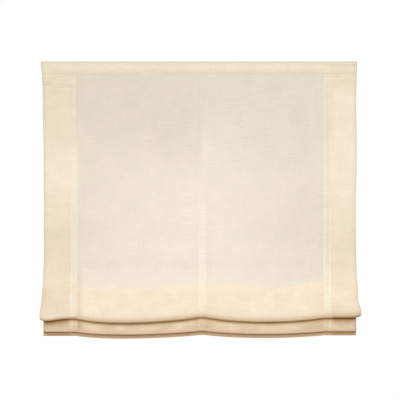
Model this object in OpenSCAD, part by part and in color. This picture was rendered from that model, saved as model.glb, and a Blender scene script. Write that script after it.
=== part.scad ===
// Soft roman blind with a chain-driven head rail, drawn up by a little over one fold.
// Frame: wall plane at y = 0, the room at -Y, +Z up, millimetres.
// The origin lies on the wall, at the centre of the four bracket screw holes.

/* [Cloth] */
// Finished width of the cloth at its header
cloth_w = 1000; // [700:10:1600]
// Height from the top of the header down to the gathered rings
draw_h = 711; // [560:1:1400]
// Thickness of one ply of cloth
cloth_t = 0.9; // [0.6:0.1:1.2]
// Extra thickness where a hem is turned to the back
hem_t = 0.6; // [0.4:0.1:1]
// Width of the left turned hem
left_hem_w = 115; // [60:1:160]
// Width of the right turned hem
right_hem_w = 105; // [60:1:160]
// Height of the turned header
header_h = 40; // [28:1:45]
// Height of the turned bottom hem
hem_h = 40; // [20:1:60]

/* [Folds] */
// Spacing of the ring rows, measured along the cloth
ring_pitch = 303; // [240:1:340]
// Drop of the front fold below the gathered rings
front_fold = 99; // [70:1:115]
// Drop of the cloth's bottom edge below the lowest rings
hem_tail = 146; // [125:1:170]
// How far the front fold stands out from the flat cloth
fold_reach = 21; // [18:0.5:34]
// Width of the loop at the bottom of the front fold
fold_loop = 11; // [8:0.5:12]
// Most that the folds sag between two lift points
sag = 15; // [4:1:24]
// Draw-in of the left edge halfway down the cloth
left_draw_in = 8; // [0:1:16]
// Draw-in of the right edge halfway down the cloth
right_draw_in = 2; // [0:1:16]
// Flare of the left edge at the front fold
left_flare = 6; // [0:1:22]
// Flare of the right edge at the front fold
right_flare = 15; // [0:1:22]
// Lift of the front fold at its two corners
corner_lift = 7; // [0:1:14]
// Droop of the front fold's left end, which its ring tape leaves free
left_droop = 9; // [0:1:14]
// Width of the lifted part of each corner
corner_w = 24; // [16:1:40]

/* [Ring tapes] */
// Width of a ring tape
tape_w = 20; // [14:1:26]
// Thickness of a ring tape
tape_t = 0.6; // [0.4:0.1:1]
// Sideways place of the centre tape
mid_tape_x = 10; // [-40:1:40]
// Wire radius of a ring
ring_wire_r = 1.1; // [0.8:0.1:1.4]
// Height between the two gathered rings of a tape
ring_gap = 10; // [8:0.5:14]
// Radius of a lift cord
cord_r = 0.6; // [0.4:0.1:0.8]
// Turns of cord on each drum
cord_turns = 11; // [6:1:11]

/* [Head rail] */
// Depth of the rail, from back to front
rail_depth = 28; // [26:0.5:36]
// Height of the rail without its bracket channel
rail_h = 26; // [25:0.5:34]
// Wall of the extruded rail
rail_wall = 1.4; // [1:0.1:1.8]
// Lip on each side of the rail's open bottom
rail_lip = 2.5; // [1.5:0.1:2.6]
// Gap between the wall and the rail's back
rail_gap = 7; // [5:0.5:20]
// Height of the hook tape on the rail's front
hook_tape_h = 18; // [14:0.5:20]
// Thickness of the hook tape
hook_tape_t = 1.7; // [1.2:0.1:2.2]
// Thickness of the loop tape behind the header
loop_tape_t = 1.1; // [0.8:0.1:1.8]
// Overhang of the cloth past each end of the rail fittings
header_overhang = 2; // [0:0.5:10]

/* [Winding shaft] */
// Size of the square shaft across its flats
shaft_a = 6; // [4.5:0.1:6.5]
// Core radius of a cord drum
drum_core_r = 7.5; // [6.5:0.1:8]
// Length of a drum's core between its flanges
drum_l = 30; // [22:1:40]
// Thickness of a drum's flange
drum_flange_t = 1.6; // [1:0.1:2.5]
// Journal radius of a drum
journal_r = 5; // [4.8:0.1:6]
// Length of a drum's journal
journal_l = 5; // [4:0.5:8]
// Thickness of a drum carrier's base
carrier_t = 1.4; // [1:0.1:1.8]

/* [Chain drive] */
// Bead pitch of the operating chain
bead_pitch = 6; // [5:0.1:6.5]
// Radius of a chain bead
bead_r = 2.25; // [1.8:0.05:2.4]
// Number of bead pockets on the chain wheel
bead_pockets = 10; // [8:1:11]
// Width of the chain wheel
wheel_w = 7; // [6:0.5:9]
// Wall of the chain housing
case_wall = 2; // [1.6:0.1:3]
// Journal radius of the drive core
core_r = 6; // [5.5:0.1:6.5]
// Wire radius of the brake spring
spring_wire_r = 0.5; // [0.3:0.05:0.7]
// Number of turns of the brake spring
spring_turns = 9; // [5:1:12]
// Depth that the end pieces reach into the rail
plug_l = 22; // [16:1:30]

/* [Brackets] */
// Distance between the two brackets
bracket_pitch = 600; // [300:10:700]
// Width of a bracket
bracket_w = 26; // [22:1:30]
// Sheet thickness of a bracket
bracket_t = 1.8; // [1.2:0.1:2.5]
// Height of the bracket's wall flange
bracket_h = 40; // [36:1:60]
// Radius of a bracket screw hole
screw_hole_r = 2.25; // [1.5:0.05:3]
// Distance between the two wall holes of a bracket
hole_pitch = 20; // [12:1:24]
// Inner width of the bracket channel on the rail
channel_w = 14; // [13:0.5:18]
// Inner height of the bracket channel
channel_h = 3; // [2.5:0.1:4]
// Slot width of the bracket channel
slot_w = 9; // [8:0.1:9.5]
// Thickness of the lock lever's arm
lever_t = 2; // [1.5:0.1:3]
// Reach of the lock lever's arm from its pivot
lever_l = 17; // [14.5:0.5:18]
// Radius of the lock lever's pivot
pivot_r = 2.5; // [2:0.1:3]

/* [Hidden] */
$fn = 48;

// Clearances
run_gap = 0.06;     // round running fit, on the radius
seat_gap = 0.15;    // loose seat, on each side
air_gap = 0.3;      // parts that pass without touching
eps = 0.01;         // overrun of a cut past the face that it opens

// Heights, from the bracket's top down
half_w = cloth_w / 2;
flange_top = bracket_h / 2;
flange_z = flange_top - bracket_t;
ridge_top = flange_z - lever_t - 2 * air_gap;
plate_top = ridge_top - rail_wall - channel_h;
rail_z = plate_top - rail_h;
cloth_top = flange_top + 1;

// Depths, in front of the wall
rail_back = rail_gap;
rail_front = rail_back + rail_depth;
hook_recess = hook_tape_t - 0.2;
inner_back = rail_back + rail_wall;
inner_front = rail_front - hook_recess - rail_wall;
inner_d = inner_front - inner_back;
inner_z = rail_z + rail_wall;
inner_h = rail_h - 2 * rail_wall;
axis_d = (inner_back + inner_front) / 2;
axis_z = inner_z + inner_h / 2;
hook_z = plate_top - 2.5 - hook_tape_h;
header_drop = max(header_h, cloth_top - hook_z + 0.5);
loop_d = rail_front - hook_recess + hook_tape_t;
panel_d = loop_d + loop_tape_t + hem_t + cloth_t / 2;
cord_d = axis_d + drum_core_r + cord_r + seat_gap;
front_lip = min(rail_lip, inner_front - cord_d - cord_r - air_gap);
tape_back = panel_d - cloth_t / 2 - hem_t - tape_t - 0.05;
ring_r = tape_back - cord_d - air_gap - ring_wire_r;

// Sideways stations: the rail with its two end pieces fits inside the cloth
left_in = -half_w + left_hem_w;
right_in = half_w - right_hem_w;
tape_xs = [left_in - tape_w / 2, mid_tape_x, right_in + tape_w / 2];
cap_t = 4;
chamber_w = wheel_w + 2 * air_gap;
case_l = 2 * case_wall + chamber_w;
rail_x0 = -half_w + header_overhang + cap_t;
rail_x1 = half_w - header_overhang - case_l;
rail_l = rail_x1 - rail_x0;
case_x = rail_x1;
cover_x = case_x + case_wall + chamber_w;

// Drums and their carriers
flange_r = min(inner_d, inner_h) / 2 - seat_gap - carrier_t - air_gap;
drum_half = drum_l / 2 + drum_flange_t;
carrier_in = drum_half + air_gap;
carrier_half = carrier_in + journal_l;
winding_pitch = 2 * cord_r * 0.98;
shaft_x0 = rail_x0 - cap_t / 2 + 4;
shaft_x1 = rail_x1 - 2;

// Chain wheel
pitch_r = bead_pitch * bead_pockets / (2 * PI);
wheel_r = pitch_r + 0.65 * bead_r;
chamber_r = pitch_r + bead_r + air_gap;
spring_r = core_r + 2 * air_gap + spring_wire_r;
brake_bore_r = spring_r + spring_wire_r + air_gap / 2;
case_d0 = min(rail_back, axis_d - chamber_r - case_wall);
case_d1 = max(rail_front, axis_d + chamber_r + case_wall);
case_z0 = min(rail_z, axis_z - chamber_r - case_wall);
case_z1 = max(plate_top, axis_z + chamber_r + case_wall);
stub_r = core_r - 2;

// Heights of the gathered rings and of the three fold edges
ring2_z = cloth_top - draw_h;
ring1_z = ring2_z - ring_gap;
fold_turn = 38;
open_turn = 18;
front_z = ring2_z - front_fold;
ring3_z = front_z + ring_pitch - front_fold - open_turn;
back_z = ring1_z - (ring_pitch - fold_turn) / 2;
tail_z = ring1_z - hem_tail;

// Depths of the layers below the rings, counted forward from the flat cloth
ply_gap = cloth_t + 1.3;
loop_gap = cloth_t + 2 * (hem_t + tape_t) + 0.8;
tail_d = panel_d + 0.2;
back_rear_d = tail_d + ply_gap;
back_face_d = back_rear_d + loop_gap;
front_rear_d = back_face_d + ply_gap;
front_leg_d = front_rear_d + loop_gap + 1.2;

// Rims of the two hanging loops
front_out = max(panel_d + fold_reach, front_leg_d + 2);
front_in = max(front_rear_d + 0.4, front_out - fold_loop);
front_w = front_out - front_in;
front_mid = (front_out + front_in) / 2;
back_out = back_face_d + 1.2;
back_in = back_rear_d - 1;
back_w = back_out - back_in;
back_mid = (back_out + back_in) / 2;
lean = front_leg_d - panel_d;
arch = (front_rear_d - panel_d) / 2;
bend = ply_gap / 2;
leg_drop = arch + ring_gap;
back_fold = ring1_z - back_z;
open_span = ring3_z - ring2_z;
flat_span = cloth_top - header_drop - ring3_z;

// The cloth's path at a lift point, from header to bottom edge. Each entry is [depth, height,
// share of the sag, bulge between lift points, share of the draw-in, share of the flare, samples].
flat_path = [
    [panel_d, cloth_top, 0, 0, 0, 0, 1],
    [panel_d, cloth_top - header_drop, 0, 0, 0, 0, 1],
    [panel_d, cloth_top - header_drop - 1, 0, 0, 0, 0, 2],
    [panel_d, ring3_z + 0.75 * flat_span, 0, 0.5, 0.75, 0, 1],
    [panel_d, ring3_z + 0.5 * flat_span, 0, 1, 1, 0, 2],
    [panel_d, ring3_z + 0.2 * flat_span, 0.1, 2, 1.1, 0, 2]];
front_path = [
    [panel_d, ring3_z, 0.2, 3, 0.85, 0, 1],
    [panel_d + 0.12 * lean, ring3_z - 0.28 * open_span, 0.3, 3, 0.6, 0, 2],
    [panel_d + 0.46 * lean, ring3_z - 0.64 * open_span, 0.45, 4, 0.45, 0.1, 2],
    [front_leg_d, ring2_z, 0.7, 4, 0.4, 0.25, 2],
    [front_out - 0.25 * (front_out - front_leg_d), front_z + 0.5 * front_fold, 0.9, 3, 0.3, 0.4, 2],
    [front_out, front_z + 1.35 * front_w, 1, 3, 0.3, 1, 2],
    [front_mid + 0.4 * front_w, front_z + 0.42 * front_w, 1, 3, 0.3, 1, 2],
    [front_mid, front_z, 1, 3, 0.3, 0.9, 2],
    [front_mid - 0.38 * front_w, front_z + 0.28 * front_w, 1, 3, 0.3, 0.9, 2],
    [front_in, front_z + 0.9 * front_w, 0.95, 2, 0.3, 0.8, 2],
    [front_rear_d, front_z + 0.55 * front_fold, 0.85, 1, 0.2, 0.4, 1],
    [front_rear_d, ring2_z - leg_drop, 0.7, 0, 0, 0.1, 2],
    [panel_d + 1.72 * arch, ring2_z + 0.62 * arch, 0.66, 0, 0, 0, 2],
    [panel_d + arch, ring2_z + arch, 0.66, 0, 0, 0, 2],
    [panel_d + 0.28 * arch, ring2_z + 0.62 * arch, 0.66, 0, 0, 0, 2]];
back_path = [
    [panel_d, ring2_z, 0.66, 0, 0, 0, 2],
    [panel_d + 0.45 * arch, ring2_z - 2.8, 0.66, 0, 0, 0, 1],
    [panel_d + 1.15 * arch, ring2_z - 4.8, 0.66, 0, 0, 0, 2],
    [back_face_d, ring2_z - leg_drop, 0.66, 0, 0.2, 0, 1],
    [back_face_d + 0.6, back_z + 0.5 * back_fold, 0.66, 1, 0.6, 0, 1],
    [back_out, back_z + 1.2 * back_w, 0.66, 1, 0.7, 0, 2],
    [back_mid + 0.38 * back_w, back_z + 0.28 * back_w, 0.66, 1, 0.7, 0, 2],
    [back_mid, back_z, 0.66, 1, 0.7, 0, 2],
    [back_mid - 0.38 * back_w, back_z + 0.28 * back_w, 0.66, 1, 0.7, 0, 2],
    [back_in, back_z + 1.2 * back_w, 0.66, 1, 0.7, 0, 1],
    [back_rear_d, back_z + 0.5 * back_fold, 0.66, 1, 0.7, 0, 1],
    [back_rear_d, ring1_z - 10, 0.66, 0, 0.4, 0, 1],
    [back_rear_d, ring1_z - 1.5, 0.66, 0, 0.4, 0, 1],
    [panel_d + 1.75 * bend, ring1_z + 0.6 * bend, 0.66, 0, 0.4, 0, 1],
    [panel_d + 1.1 * bend, ring1_z + bend, 0.66, 0, 0.4, 0, 1],
    [panel_d + 0.35 * bend, ring1_z + 0.6 * bend, 0.66, 0, 0.4, 0, 1]];
tail_path = [
    [panel_d, ring1_z - 1, 0.66, 0, 0.4, 0, 1],
    [tail_d - 0.3, ring1_z - 10, 0.66, 0, 0.4, 0, 1],
    [tail_d - 0.9, ring1_z - 0.5 * hem_tail, 0.66, 0, 0.6, 0, 1],
    [tail_d - 1.5, tail_z + hem_h + 1, 0.66, 0, 0.7, 0, 1],
    [tail_d - 1.5, tail_z + hem_h, 0.66, 0, 0.7, 0, 1],
    [tail_d - 2, tail_z, 0.66, 0, 0.7, 0, 1]];
path_points = concat(flat_path, front_path, back_path, tail_path);
header_step = 2;
front_step = len(flat_path);
back_step = front_step + len(front_path);
tail_step = back_step + len(back_path);
hem_step = len(path_points) - 2;

// A smooth curve through the path's points, with tangents weighted by the chords
function flat(v) = [for (k = [0:5]) v[k]];
function chord(i) =
    let (a = path_points[i], b = path_points[i + 1])
    norm([b[0] - a[0], b[1] - a[1]]);
function slope(i) = (flat(path_points[i + 1]) - flat(path_points[i])) / chord(i);
function tangent(i) =
    i == 0 ? slope(0)
    : i == len(path_points) - 1 ? slope(i - 1)
    : (slope(i - 1) * chord(i) + slope(i) * chord(i - 1)) / (chord(i) + chord(i - 1));
function on_path(i, u) =
    flat(path_points[i]) * (1 + 2 * u) * (1 - u) * (1 - u)
    + tangent(i) * chord(i) * u * (1 - u) * (1 - u)
    + flat(path_points[i + 1]) * u * u * (3 - 2 * u)
    + tangent(i + 1) * chord(i) * u * u * (u - 1);
path_rows = [
    for (i = [0:len(path_points) - 2]) for (k = [0:path_points[i][6] - 1]) on_path(i, k / path_points[i][6]),
    flat(path_points[len(path_points) - 1])];
function row_of(i) = i == 0 ? 0 : row_of(i - 1) + path_points[i - 1][6];

// Share of the sag at a station: little at the three lift points, most between them
slack_share = 0.13;
lift_shares = [0.05, -0.25, -0.13];
lift_fade = 12;
function hump(t) = (1 - cos(360 * t)) / 2;
function bay(x, t, depth, skew) =
    let (x0 = tape_xs[t] + tape_w / 2,
         x1 = tape_xs[t + 1] - tape_w / 2,
         u = min(1, max(0, (x - x0) / (x1 - x0))))
    slack_share + depth * sin(180 * pow(u, skew))
    + lift_shares[t] * pow(1 - u, lift_fade) + lift_shares[t + 1] * pow(u, lift_fade);
border_in = tape_xs[0] - tape_w / 2;
function sag_at(x) =
    x < border_in ? slack_share + lift_shares[0]
    : x < tape_xs[1] ? bay(x, 0, 0.93, 0.72)
    : x < tape_xs[2] ? bay(x, 1, 0.73, 0.99)
    : slack_share + lift_shares[2];

// Share of the edge shifts: they bear only on the cloth outside the outer tapes
function edge_at(x) =
    x < tape_xs[0] ? -pow((tape_xs[0] - x) / (half_w + tape_xs[0]), 2)
    : x > tape_xs[2] ? pow((x - tape_xs[2]) / (half_w - tape_xs[2]), 2)
    : 0;

function edge_shift(row, x) =
    row[5] * (x < 0 ? left_flare : right_flare) - row[4] * (x < 0 ? left_draw_in : right_draw_in);

// Rise of the front fold at its ends: the left end droops, and both corners are drawn up
function corner(x) = pow(max(0, abs(x) - half_w + corner_w) / corner_w, 2);
function droop(x) = x < border_in ? hump(0.5 * (border_in - x) / (half_w + border_in)) : 0;
function end_rise(x) = corner(x) * corner_lift - droop(x) * left_droop;

// One point of the cloth, moved off the middle of its thickness by the given amount
function place(row, x) =
    let (w = sag_at(x))
    [row[0] + w * row[3], row[1] - w * row[2] * sag + row[5] * end_rise(x)];
function row_point(rows, i, x, off) =
    let (a = place(rows[max(0, i - 1)], x),
         b = place(rows[min(len(rows) - 1, i + 1)], x),
         n = [a[1] - b[1], b[0] - a[0]] / norm(b - a),
         p = place(rows[i], x) + n * off)
    [x + edge_at(x) * edge_shift(rows[i], x), -p[0], p[1]];

function stations(x0, x1, n) = [for (i = [0:n]) x0 + (x1 - x0) * i / n];
function tape_stations(t) = stations(tape_xs[t] - tape_w / 2, tape_xs[t] + tape_w / 2, 2);
hem_edge = 0.4;
bay_columns = 9;
border_columns = 3;
cloth_columns = concat(
    [-half_w],
    [for (i = [0:border_columns - 1])
        -half_w + corner_w + (left_hem_w - tape_w - corner_w) * i / border_columns],
    tape_stations(0),
    stations(left_in + hem_edge, mid_tape_x - tape_w / 2 - hem_edge, bay_columns),
    tape_stations(1),
    stations(mid_tape_x + tape_w / 2 + hem_edge, right_in - hem_edge, bay_columns),
    tape_stations(2),
    [for (i = [1:border_columns])
        right_in + tape_w + (right_hem_w - tape_w - corner_w) * i / border_columns],
    [half_w]);

// Shapes that repeat

// A profile drawn as [depth, height], extruded along X from x0
module along_x(x0, length) {
    translate([x0, 0, 0]) rotate([90, 0, 90]) linear_extrude(length) mirror([1, 0]) children();
}

// A round bar along X at the shaft's axis
module shaft_round(r, x0, length) {
    translate([x0, -axis_d, axis_z]) rotate([0, 90, 0]) cylinder(r = r, h = length);
}

module shaft_square(a, x0, length) {
    along_x(x0, length) translate([axis_d - a / 2, axis_z - a / 2]) square(a);
}

// A rectangle between two corners with round corners
module round_box(d0, z0, d1, z1, r) {
    translate([d0 + r, z0]) square([d1 - d0 - 2 * r, z1 - z0]);
    translate([d0, z0 + r]) square([d1 - d0, z1 - z0 - 2 * r]);
    for (d = [d0 + r, d1 - r]) for (z = [z0 + r, z1 - r]) translate([d, z]) circle(r);
}

// A closed sheet between two offsets of the cloth's path, over the given stations
module sheet(xs, rows, front_off, back_off) {
    nx = len(xs);
    nr = len(rows);
    function at(side, i, j) = (side * nr + i) * nx + j;
    points = concat(
        [for (i = [0:nr - 1]) for (x = xs) row_point(rows, i, x, front_off)],
        [for (i = [0:nr - 1]) for (x = xs) row_point(rows, i, x, back_off(x, i))]);
    skin = [for (i = [0:nr - 2]) for (j = [0:nx - 2]) each [
        [at(0, i, j), at(0, i, j + 1), at(0, i + 1, j)],
        [at(0, i, j + 1), at(0, i + 1, j + 1), at(0, i + 1, j)],
        [at(1, i, j), at(1, i + 1, j), at(1, i, j + 1)],
        [at(1, i, j + 1), at(1, i + 1, j), at(1, i + 1, j + 1)]]];
    ends = [for (j = [0:nx - 2]) each [
        [at(0, 0, j), at(1, 0, j), at(1, 0, j + 1)],
        [at(0, 0, j), at(1, 0, j + 1), at(0, 0, j + 1)],
        [at(0, nr - 1, j), at(0, nr - 1, j + 1), at(1, nr - 1, j + 1)],
        [at(0, nr - 1, j), at(1, nr - 1, j + 1), at(1, nr - 1, j)]]];
    sides = [for (i = [0:nr - 2]) each [
        [at(0, i, 0), at(0, i + 1, 0), at(1, i + 1, 0)],
        [at(0, i, 0), at(1, i + 1, 0), at(1, i, 0)],
        [at(0, i, nx - 1), at(1, i, nx - 1), at(1, i + 1, nx - 1)],
        [at(0, i, nx - 1), at(1, i + 1, nx - 1), at(0, i + 1, nx - 1)]]];
    polyhedron(points = points, faces = concat(skin, ends, sides));
}

// Head rail: an extruded channel, open below, with a bracket channel on top
module rail_profile() {
    difference() {
        round_box(rail_back, rail_z, rail_front, plate_top, 1);
        translate([inner_back, inner_z]) square([inner_d, inner_h]);
        translate([inner_back + rail_lip, rail_z - 1])
            square([inner_d - rail_lip - front_lip, rail_wall + 2]);
        translate([rail_front - hook_recess, hook_z - seat_gap])
            square([hook_recess + 1, hook_tape_h + 2 * seat_gap]);
    }
    for (side = [-1, 1]) translate([axis_d, plate_top - eps]) mirror([side < 0 ? 1 : 0, 0]) {
        translate([channel_w / 2, 0]) square([rail_wall, channel_h + rail_wall + eps]);
        translate([slot_w / 2, channel_h + eps]) square([(channel_w - slot_w) / 2 + eps, rail_wall]);
    }
}

module head_rail() {
    color("gainsboro") along_x(rail_x0, rail_l) rail_profile();
}

// Hook tape stuck in the rail's front recess, and the loop tape sewn behind the header
module hook_tape() {
    color("whitesmoke") along_x(rail_x0 + 1, rail_l - 2)
        translate([rail_front - hook_recess, hook_z]) square([hook_tape_t, hook_tape_h]);
}

module loop_tape() {
    color("ivory") along_x(rail_x0 + 1, rail_l - 2)
        translate([loop_d, hook_z]) square([loop_tape_t - 0.05, hook_tape_h]);
}

// Cloth: one sheet with its side hems, header and bottom hem turned to the back
module cloth() {
    last_header_row = row_of(header_step) - 1;
    first_hem_row = row_of(hem_step);
    function hemmed(x, i) =
        x <= left_in + eps || x >= right_in - eps || i <= last_header_row || i >= first_hem_row;
    color("antiquewhite") sheet(cloth_columns, path_rows, cloth_t / 2,
        function (x, i) -cloth_t / 2 - (hemmed(x, i) ? hem_t : 0));
}

// Ring tape: sewn down the cloth's back from below the rail to the lowest ring
module ring_tape(t) {
    first_row = row_of(header_step);
    rows = [for (i = [first_row:row_of(tail_step)]) path_rows[i]];
    front_off = -cloth_t / 2 - 0.05 - (t == 1 ? 0 : hem_t);
    back_off = -cloth_t / 2 - 0.05 - hem_t - tape_t;
    color("linen") sheet(tape_stations(t), rows, front_off, function (x, i) back_off);
}

// Rings: two gathered at the folds, the rest spread up the tape at the ring pitch
upper_rings = floor((cloth_top - header_h - ring_r - ring3_z) / ring_pitch);
ring_heights = concat([ring1_z, ring2_z], [for (i = [0:upper_rings]) ring3_z + i * ring_pitch]);
module rings(t) {
    color("whitesmoke") for (z = ring_heights)
        translate([tape_xs[t], -cord_d, z]) rotate_extrude() translate([ring_r, 0]) circle(ring_wire_r);
}

// Lift cord: hangs from its drum through the rings to a stop under the lowest one
stop_h = 7;
stop_top = ring1_z - ring_wire_r - 0.1;
module lift_cord(t) {
    color("white") translate([tape_xs[t], -cord_d, stop_top - stop_h])
        cylinder(r = cord_r, h = axis_z - stop_top + stop_h);
}

// Cord stop: a turned bead, wider than the ring, that the knotted cord pulls up
module cord_stop(t) {
    stop_r = ring_r - ring_wire_r + 1;
    color("white") translate([tape_xs[t], -cord_d, stop_top - stop_h]) rotate_extrude() polygon([
        [cord_r + run_gap, 0], [0.55 * stop_r, 0], [0.75 * stop_r, 1], [stop_r, stop_h - 2.5],
        [stop_r, stop_h - 1], [stop_r - 1, stop_h], [cord_r + run_gap, stop_h]]);
}

// Square shaft that turns all three drums
module square_shaft() {
    color("silver") shaft_square(shaft_a, shaft_x0, shaft_x1 - shaft_x0);
}

// Drum: a spool with two flanges and two journals, bored square for the shaft
module drum(t) {
    color("white") difference() {
        union() {
            shaft_round(drum_core_r, tape_xs[t] - drum_half, 2 * drum_half);
            for (x = [-drum_half, drum_l / 2]) shaft_round(flange_r, tape_xs[t] + x, drum_flange_t);
            shaft_round(journal_r, tape_xs[t] - carrier_half, 2 * carrier_half);
        }
        shaft_square(shaft_a + 2 * run_gap, tape_xs[t] - carrier_half - 1, 2 * carrier_half + 2);
    }
}

// Cord winding: the turns that lie side by side on the drum
module cord_winding(t) {
    wound_l = (cord_turns - 1) * winding_pitch;
    r = drum_core_r + run_gap + cord_r;
    color("white") translate([tape_xs[t] - 2.5 * cord_r, -axis_d, axis_z]) rotate([0, -90, 0])
        rotate_extrude() {
            translate([r - cord_r, 0]) square([cord_r, wound_l]);
            for (i = [0:cord_turns - 1]) translate([r, i * winding_pitch]) circle(cord_r);
        }
}

// Drum carrier: a cradle that slides into the rail, with open bearings and a slot for the cord
module drum_carrier(t) {
    d0 = inner_back + seat_gap;
    d1 = inner_front - seat_gap;
    z0 = inner_z + seat_gap;
    z1 = inner_z + inner_h - seat_gap;
    x0 = tape_xs[t] - carrier_half;
    wall_l = journal_l - air_gap;
    snap_w = 1.7 * journal_r;
    slot_d = 4 * cord_r + 2 * air_gap;
    color("gainsboro") difference() {
        union() {
            along_x(x0, 2 * carrier_half) translate([d0, z0]) square([d1 - d0, carrier_t]);
            for (x = [x0, x0 + 2 * carrier_half - wall_l])
                along_x(x, wall_l) round_box(d0, z0, d1, z1, 1);
        }
        shaft_round(journal_r + run_gap, x0 - 1, 2 * carrier_half + 2);
        along_x(x0 - 1, 2 * carrier_half + 2)
            translate([axis_d - snap_w / 2, axis_z]) square([snap_w, inner_h]);
        translate([tape_xs[t] - drum_l / 2, -cord_d - slot_d / 2, z0 - 1])
            cube([drum_l, slot_d, carrier_t + 2]);
    }
}

// Idle end: a cap pressed into the rail, with a bush on the shaft's end
bush_r = 0.75 * shaft_a + 1;
bush_l = 12;
module shaft_bush() {
    color("white") difference() {
        union() {
            shaft_round(bush_r, shaft_x0 - 2, bush_l);
            shaft_round(bush_r + 2, shaft_x0 - 2 + bush_l, 2);
        }
        shaft_square(shaft_a + 2 * run_gap, shaft_x0 - run_gap, bush_l + 5);
    }
}

// A hollow plug that fits inside the rail, clear of its lips
module rail_plug(x0, length, bore) {
    difference() {
        along_x(x0, length)
            round_box(inner_back + seat_gap, inner_z + seat_gap,
                inner_front - seat_gap, inner_z + inner_h - seat_gap, 1);
        shaft_round(bore, x0 - 1, length + 2);
    }
}

module idle_end_cap() {
    boss_l = bush_l - air_gap;
    color("gainsboro") {
        difference() {
            union() {
                along_x(rail_x0 - cap_t, cap_t) round_box(rail_back, rail_z, rail_front, plate_top, 1);
                rail_plug(rail_x0 - eps, boss_l, bush_r + run_gap);
            }
            shaft_round(bush_r + run_gap, shaft_x0 - 2 - air_gap, bush_l);
        }
    }
}

// Drive core: carries the chain wheel and turns the shaft
core_x0 = rail_x1 - plug_l;
core_key = 2 * core_r - 2;
module drive_core() {
    color("dimgray") difference() {
        union() {
            shaft_round(core_r, core_x0, case_x + case_wall + air_gap - core_x0);
            intersection() {
                shaft_round(core_r, case_x + case_wall, chamber_w - air_gap);
                along_x(case_x, case_l)
                    translate([axis_d - core_r, axis_z - core_key / 2]) square([2 * core_r, core_key]);
            }
            shaft_round(stub_r, cover_x - air_gap - eps, case_wall + air_gap);
        }
        shaft_square(shaft_a + 2 * run_gap, core_x0 - 1, shaft_x1 - core_x0 + 1 + air_gap);
    }
}

// Chain wheel: a pulley with a ring of bead pockets and a groove for the links between them
module chain_wheel() {
    x0 = case_x + case_wall + air_gap;
    link_r = 0.4 * bead_r;
    pocket_r = bead_r + 0.1;
    color("white") difference() {
        shaft_round(wheel_r, x0, wheel_w);
        intersection() {
            shaft_round(core_r + run_gap, x0 - 1, wheel_w + 2);
            along_x(x0 - 2, wheel_w + 4)
                translate([axis_d - core_r - 1, axis_z - core_key / 2 - run_gap])
                square([2 * core_r + 2, core_key + 2 * run_gap]);
        }
        translate([x0 + wheel_w / 2, -axis_d, axis_z]) rotate([0, 90, 0]) {
            rotate_extrude() translate([pitch_r - link_r, -link_r]) square([link_r + bead_r, 2 * link_r]);
            for (i = [0:bead_pockets - 1]) rotate([0, 0, 360 * i / bead_pockets])
                translate([pitch_r, 0, -pocket_r]) cylinder(r = pocket_r, h = 2 * pocket_r);
        }
    }
}

// Brake spring: wraps the drive core and grips the housing's bore
module brake_spring() {
    sides = 6;
    per_turn = 14;
    lead = 2.3 * spring_wire_r;
    n = spring_turns * per_turn;
    x0 = core_x0 + 3;
    function spring_point(i, k) =
        let (a = 360 * i / per_turn, r = spring_r + spring_wire_r * cos(360 * k / sides))
        [x0 + lead * i / per_turn + spring_wire_r * sin(360 * k / sides),
         -axis_d + r * cos(a), axis_z + r * sin(a)];
    points = [for (i = [0:n]) for (k = [0:sides - 1]) spring_point(i, k)];
    walls = [for (i = [0:n - 1]) for (k = [0:sides - 1]) let (m = (k + 1) % sides) each [
        [i * sides + k, i * sides + m, (i + 1) * sides + k],
        [i * sides + m, (i + 1) * sides + m, (i + 1) * sides + k]]];
    caps = [[for (k = [sides - 1:-1:0]) k], [for (k = [0:sides - 1]) n * sides + k]];
    color("slategray") polyhedron(points = points, faces = concat(walls, caps));
}

// Chain housing: closes the rail's end round the chain wheel, with two outlets below for the chain
screw_r = 1.1;
screw_inset = 2.9;
function cover_screw_places() = [
    [case_d0 + screw_inset, case_z1 - screw_inset], [case_d1 - screw_inset, case_z1 - screw_inset]];
outlet_w = 2 * bead_r + 1.2;
module chain_housing() {
    color("white") difference() {
        union() {
            along_x(case_x, case_l - case_wall) round_box(case_d0, case_z0, case_d1, case_z1, 2.5);
            rail_plug(case_x - plug_l, plug_l + eps, brake_bore_r);
        }
        shaft_round(chamber_r, case_x + case_wall, chamber_w + 1);
        shaft_round(core_r + run_gap, case_x - 1, case_wall + 2);
        for (side = [-1, 1])
            along_x(case_x + case_wall + eps, chamber_w + 1)
                translate([axis_d + side * pitch_r - outlet_w / 2, case_z0 - 1])
                square([outlet_w, axis_z - case_z0 + 1]);
        for (p = cover_screw_places()) along_x(cover_x - 6, 7) translate(p) circle(screw_r - 0.1);
    }
}

module chain_cover() {
    color("white") difference() {
        along_x(cover_x, case_wall) round_box(case_d0, case_z0, case_d1, case_z1, 2.5);
        shaft_round(stub_r + run_gap, cover_x - 1, case_wall + 2);
        for (p = cover_screw_places()) {
            along_x(cover_x - 1, case_wall + 2) translate(p) circle(screw_r + seat_gap);
            along_x(cover_x + case_wall / 2, case_wall) translate(p) circle(2 * screw_r + seat_gap);
        }
    }
}

// Cover screws: countersunk in the cover, tapped into the housing
module cover_screws() {
    color("silver") for (p = cover_screw_places()) {
        along_x(cover_x - 5, case_wall / 2 + 5) translate(p) circle(screw_r - 0.1);
        along_x(cover_x + case_wall / 2, case_wall / 2) difference() {
            translate(p) circle(2 * screw_r);
            translate(p) for (a = [0, 90]) rotate(a) square([2.6, 0.5], center = true);
        }
    }
}

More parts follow.
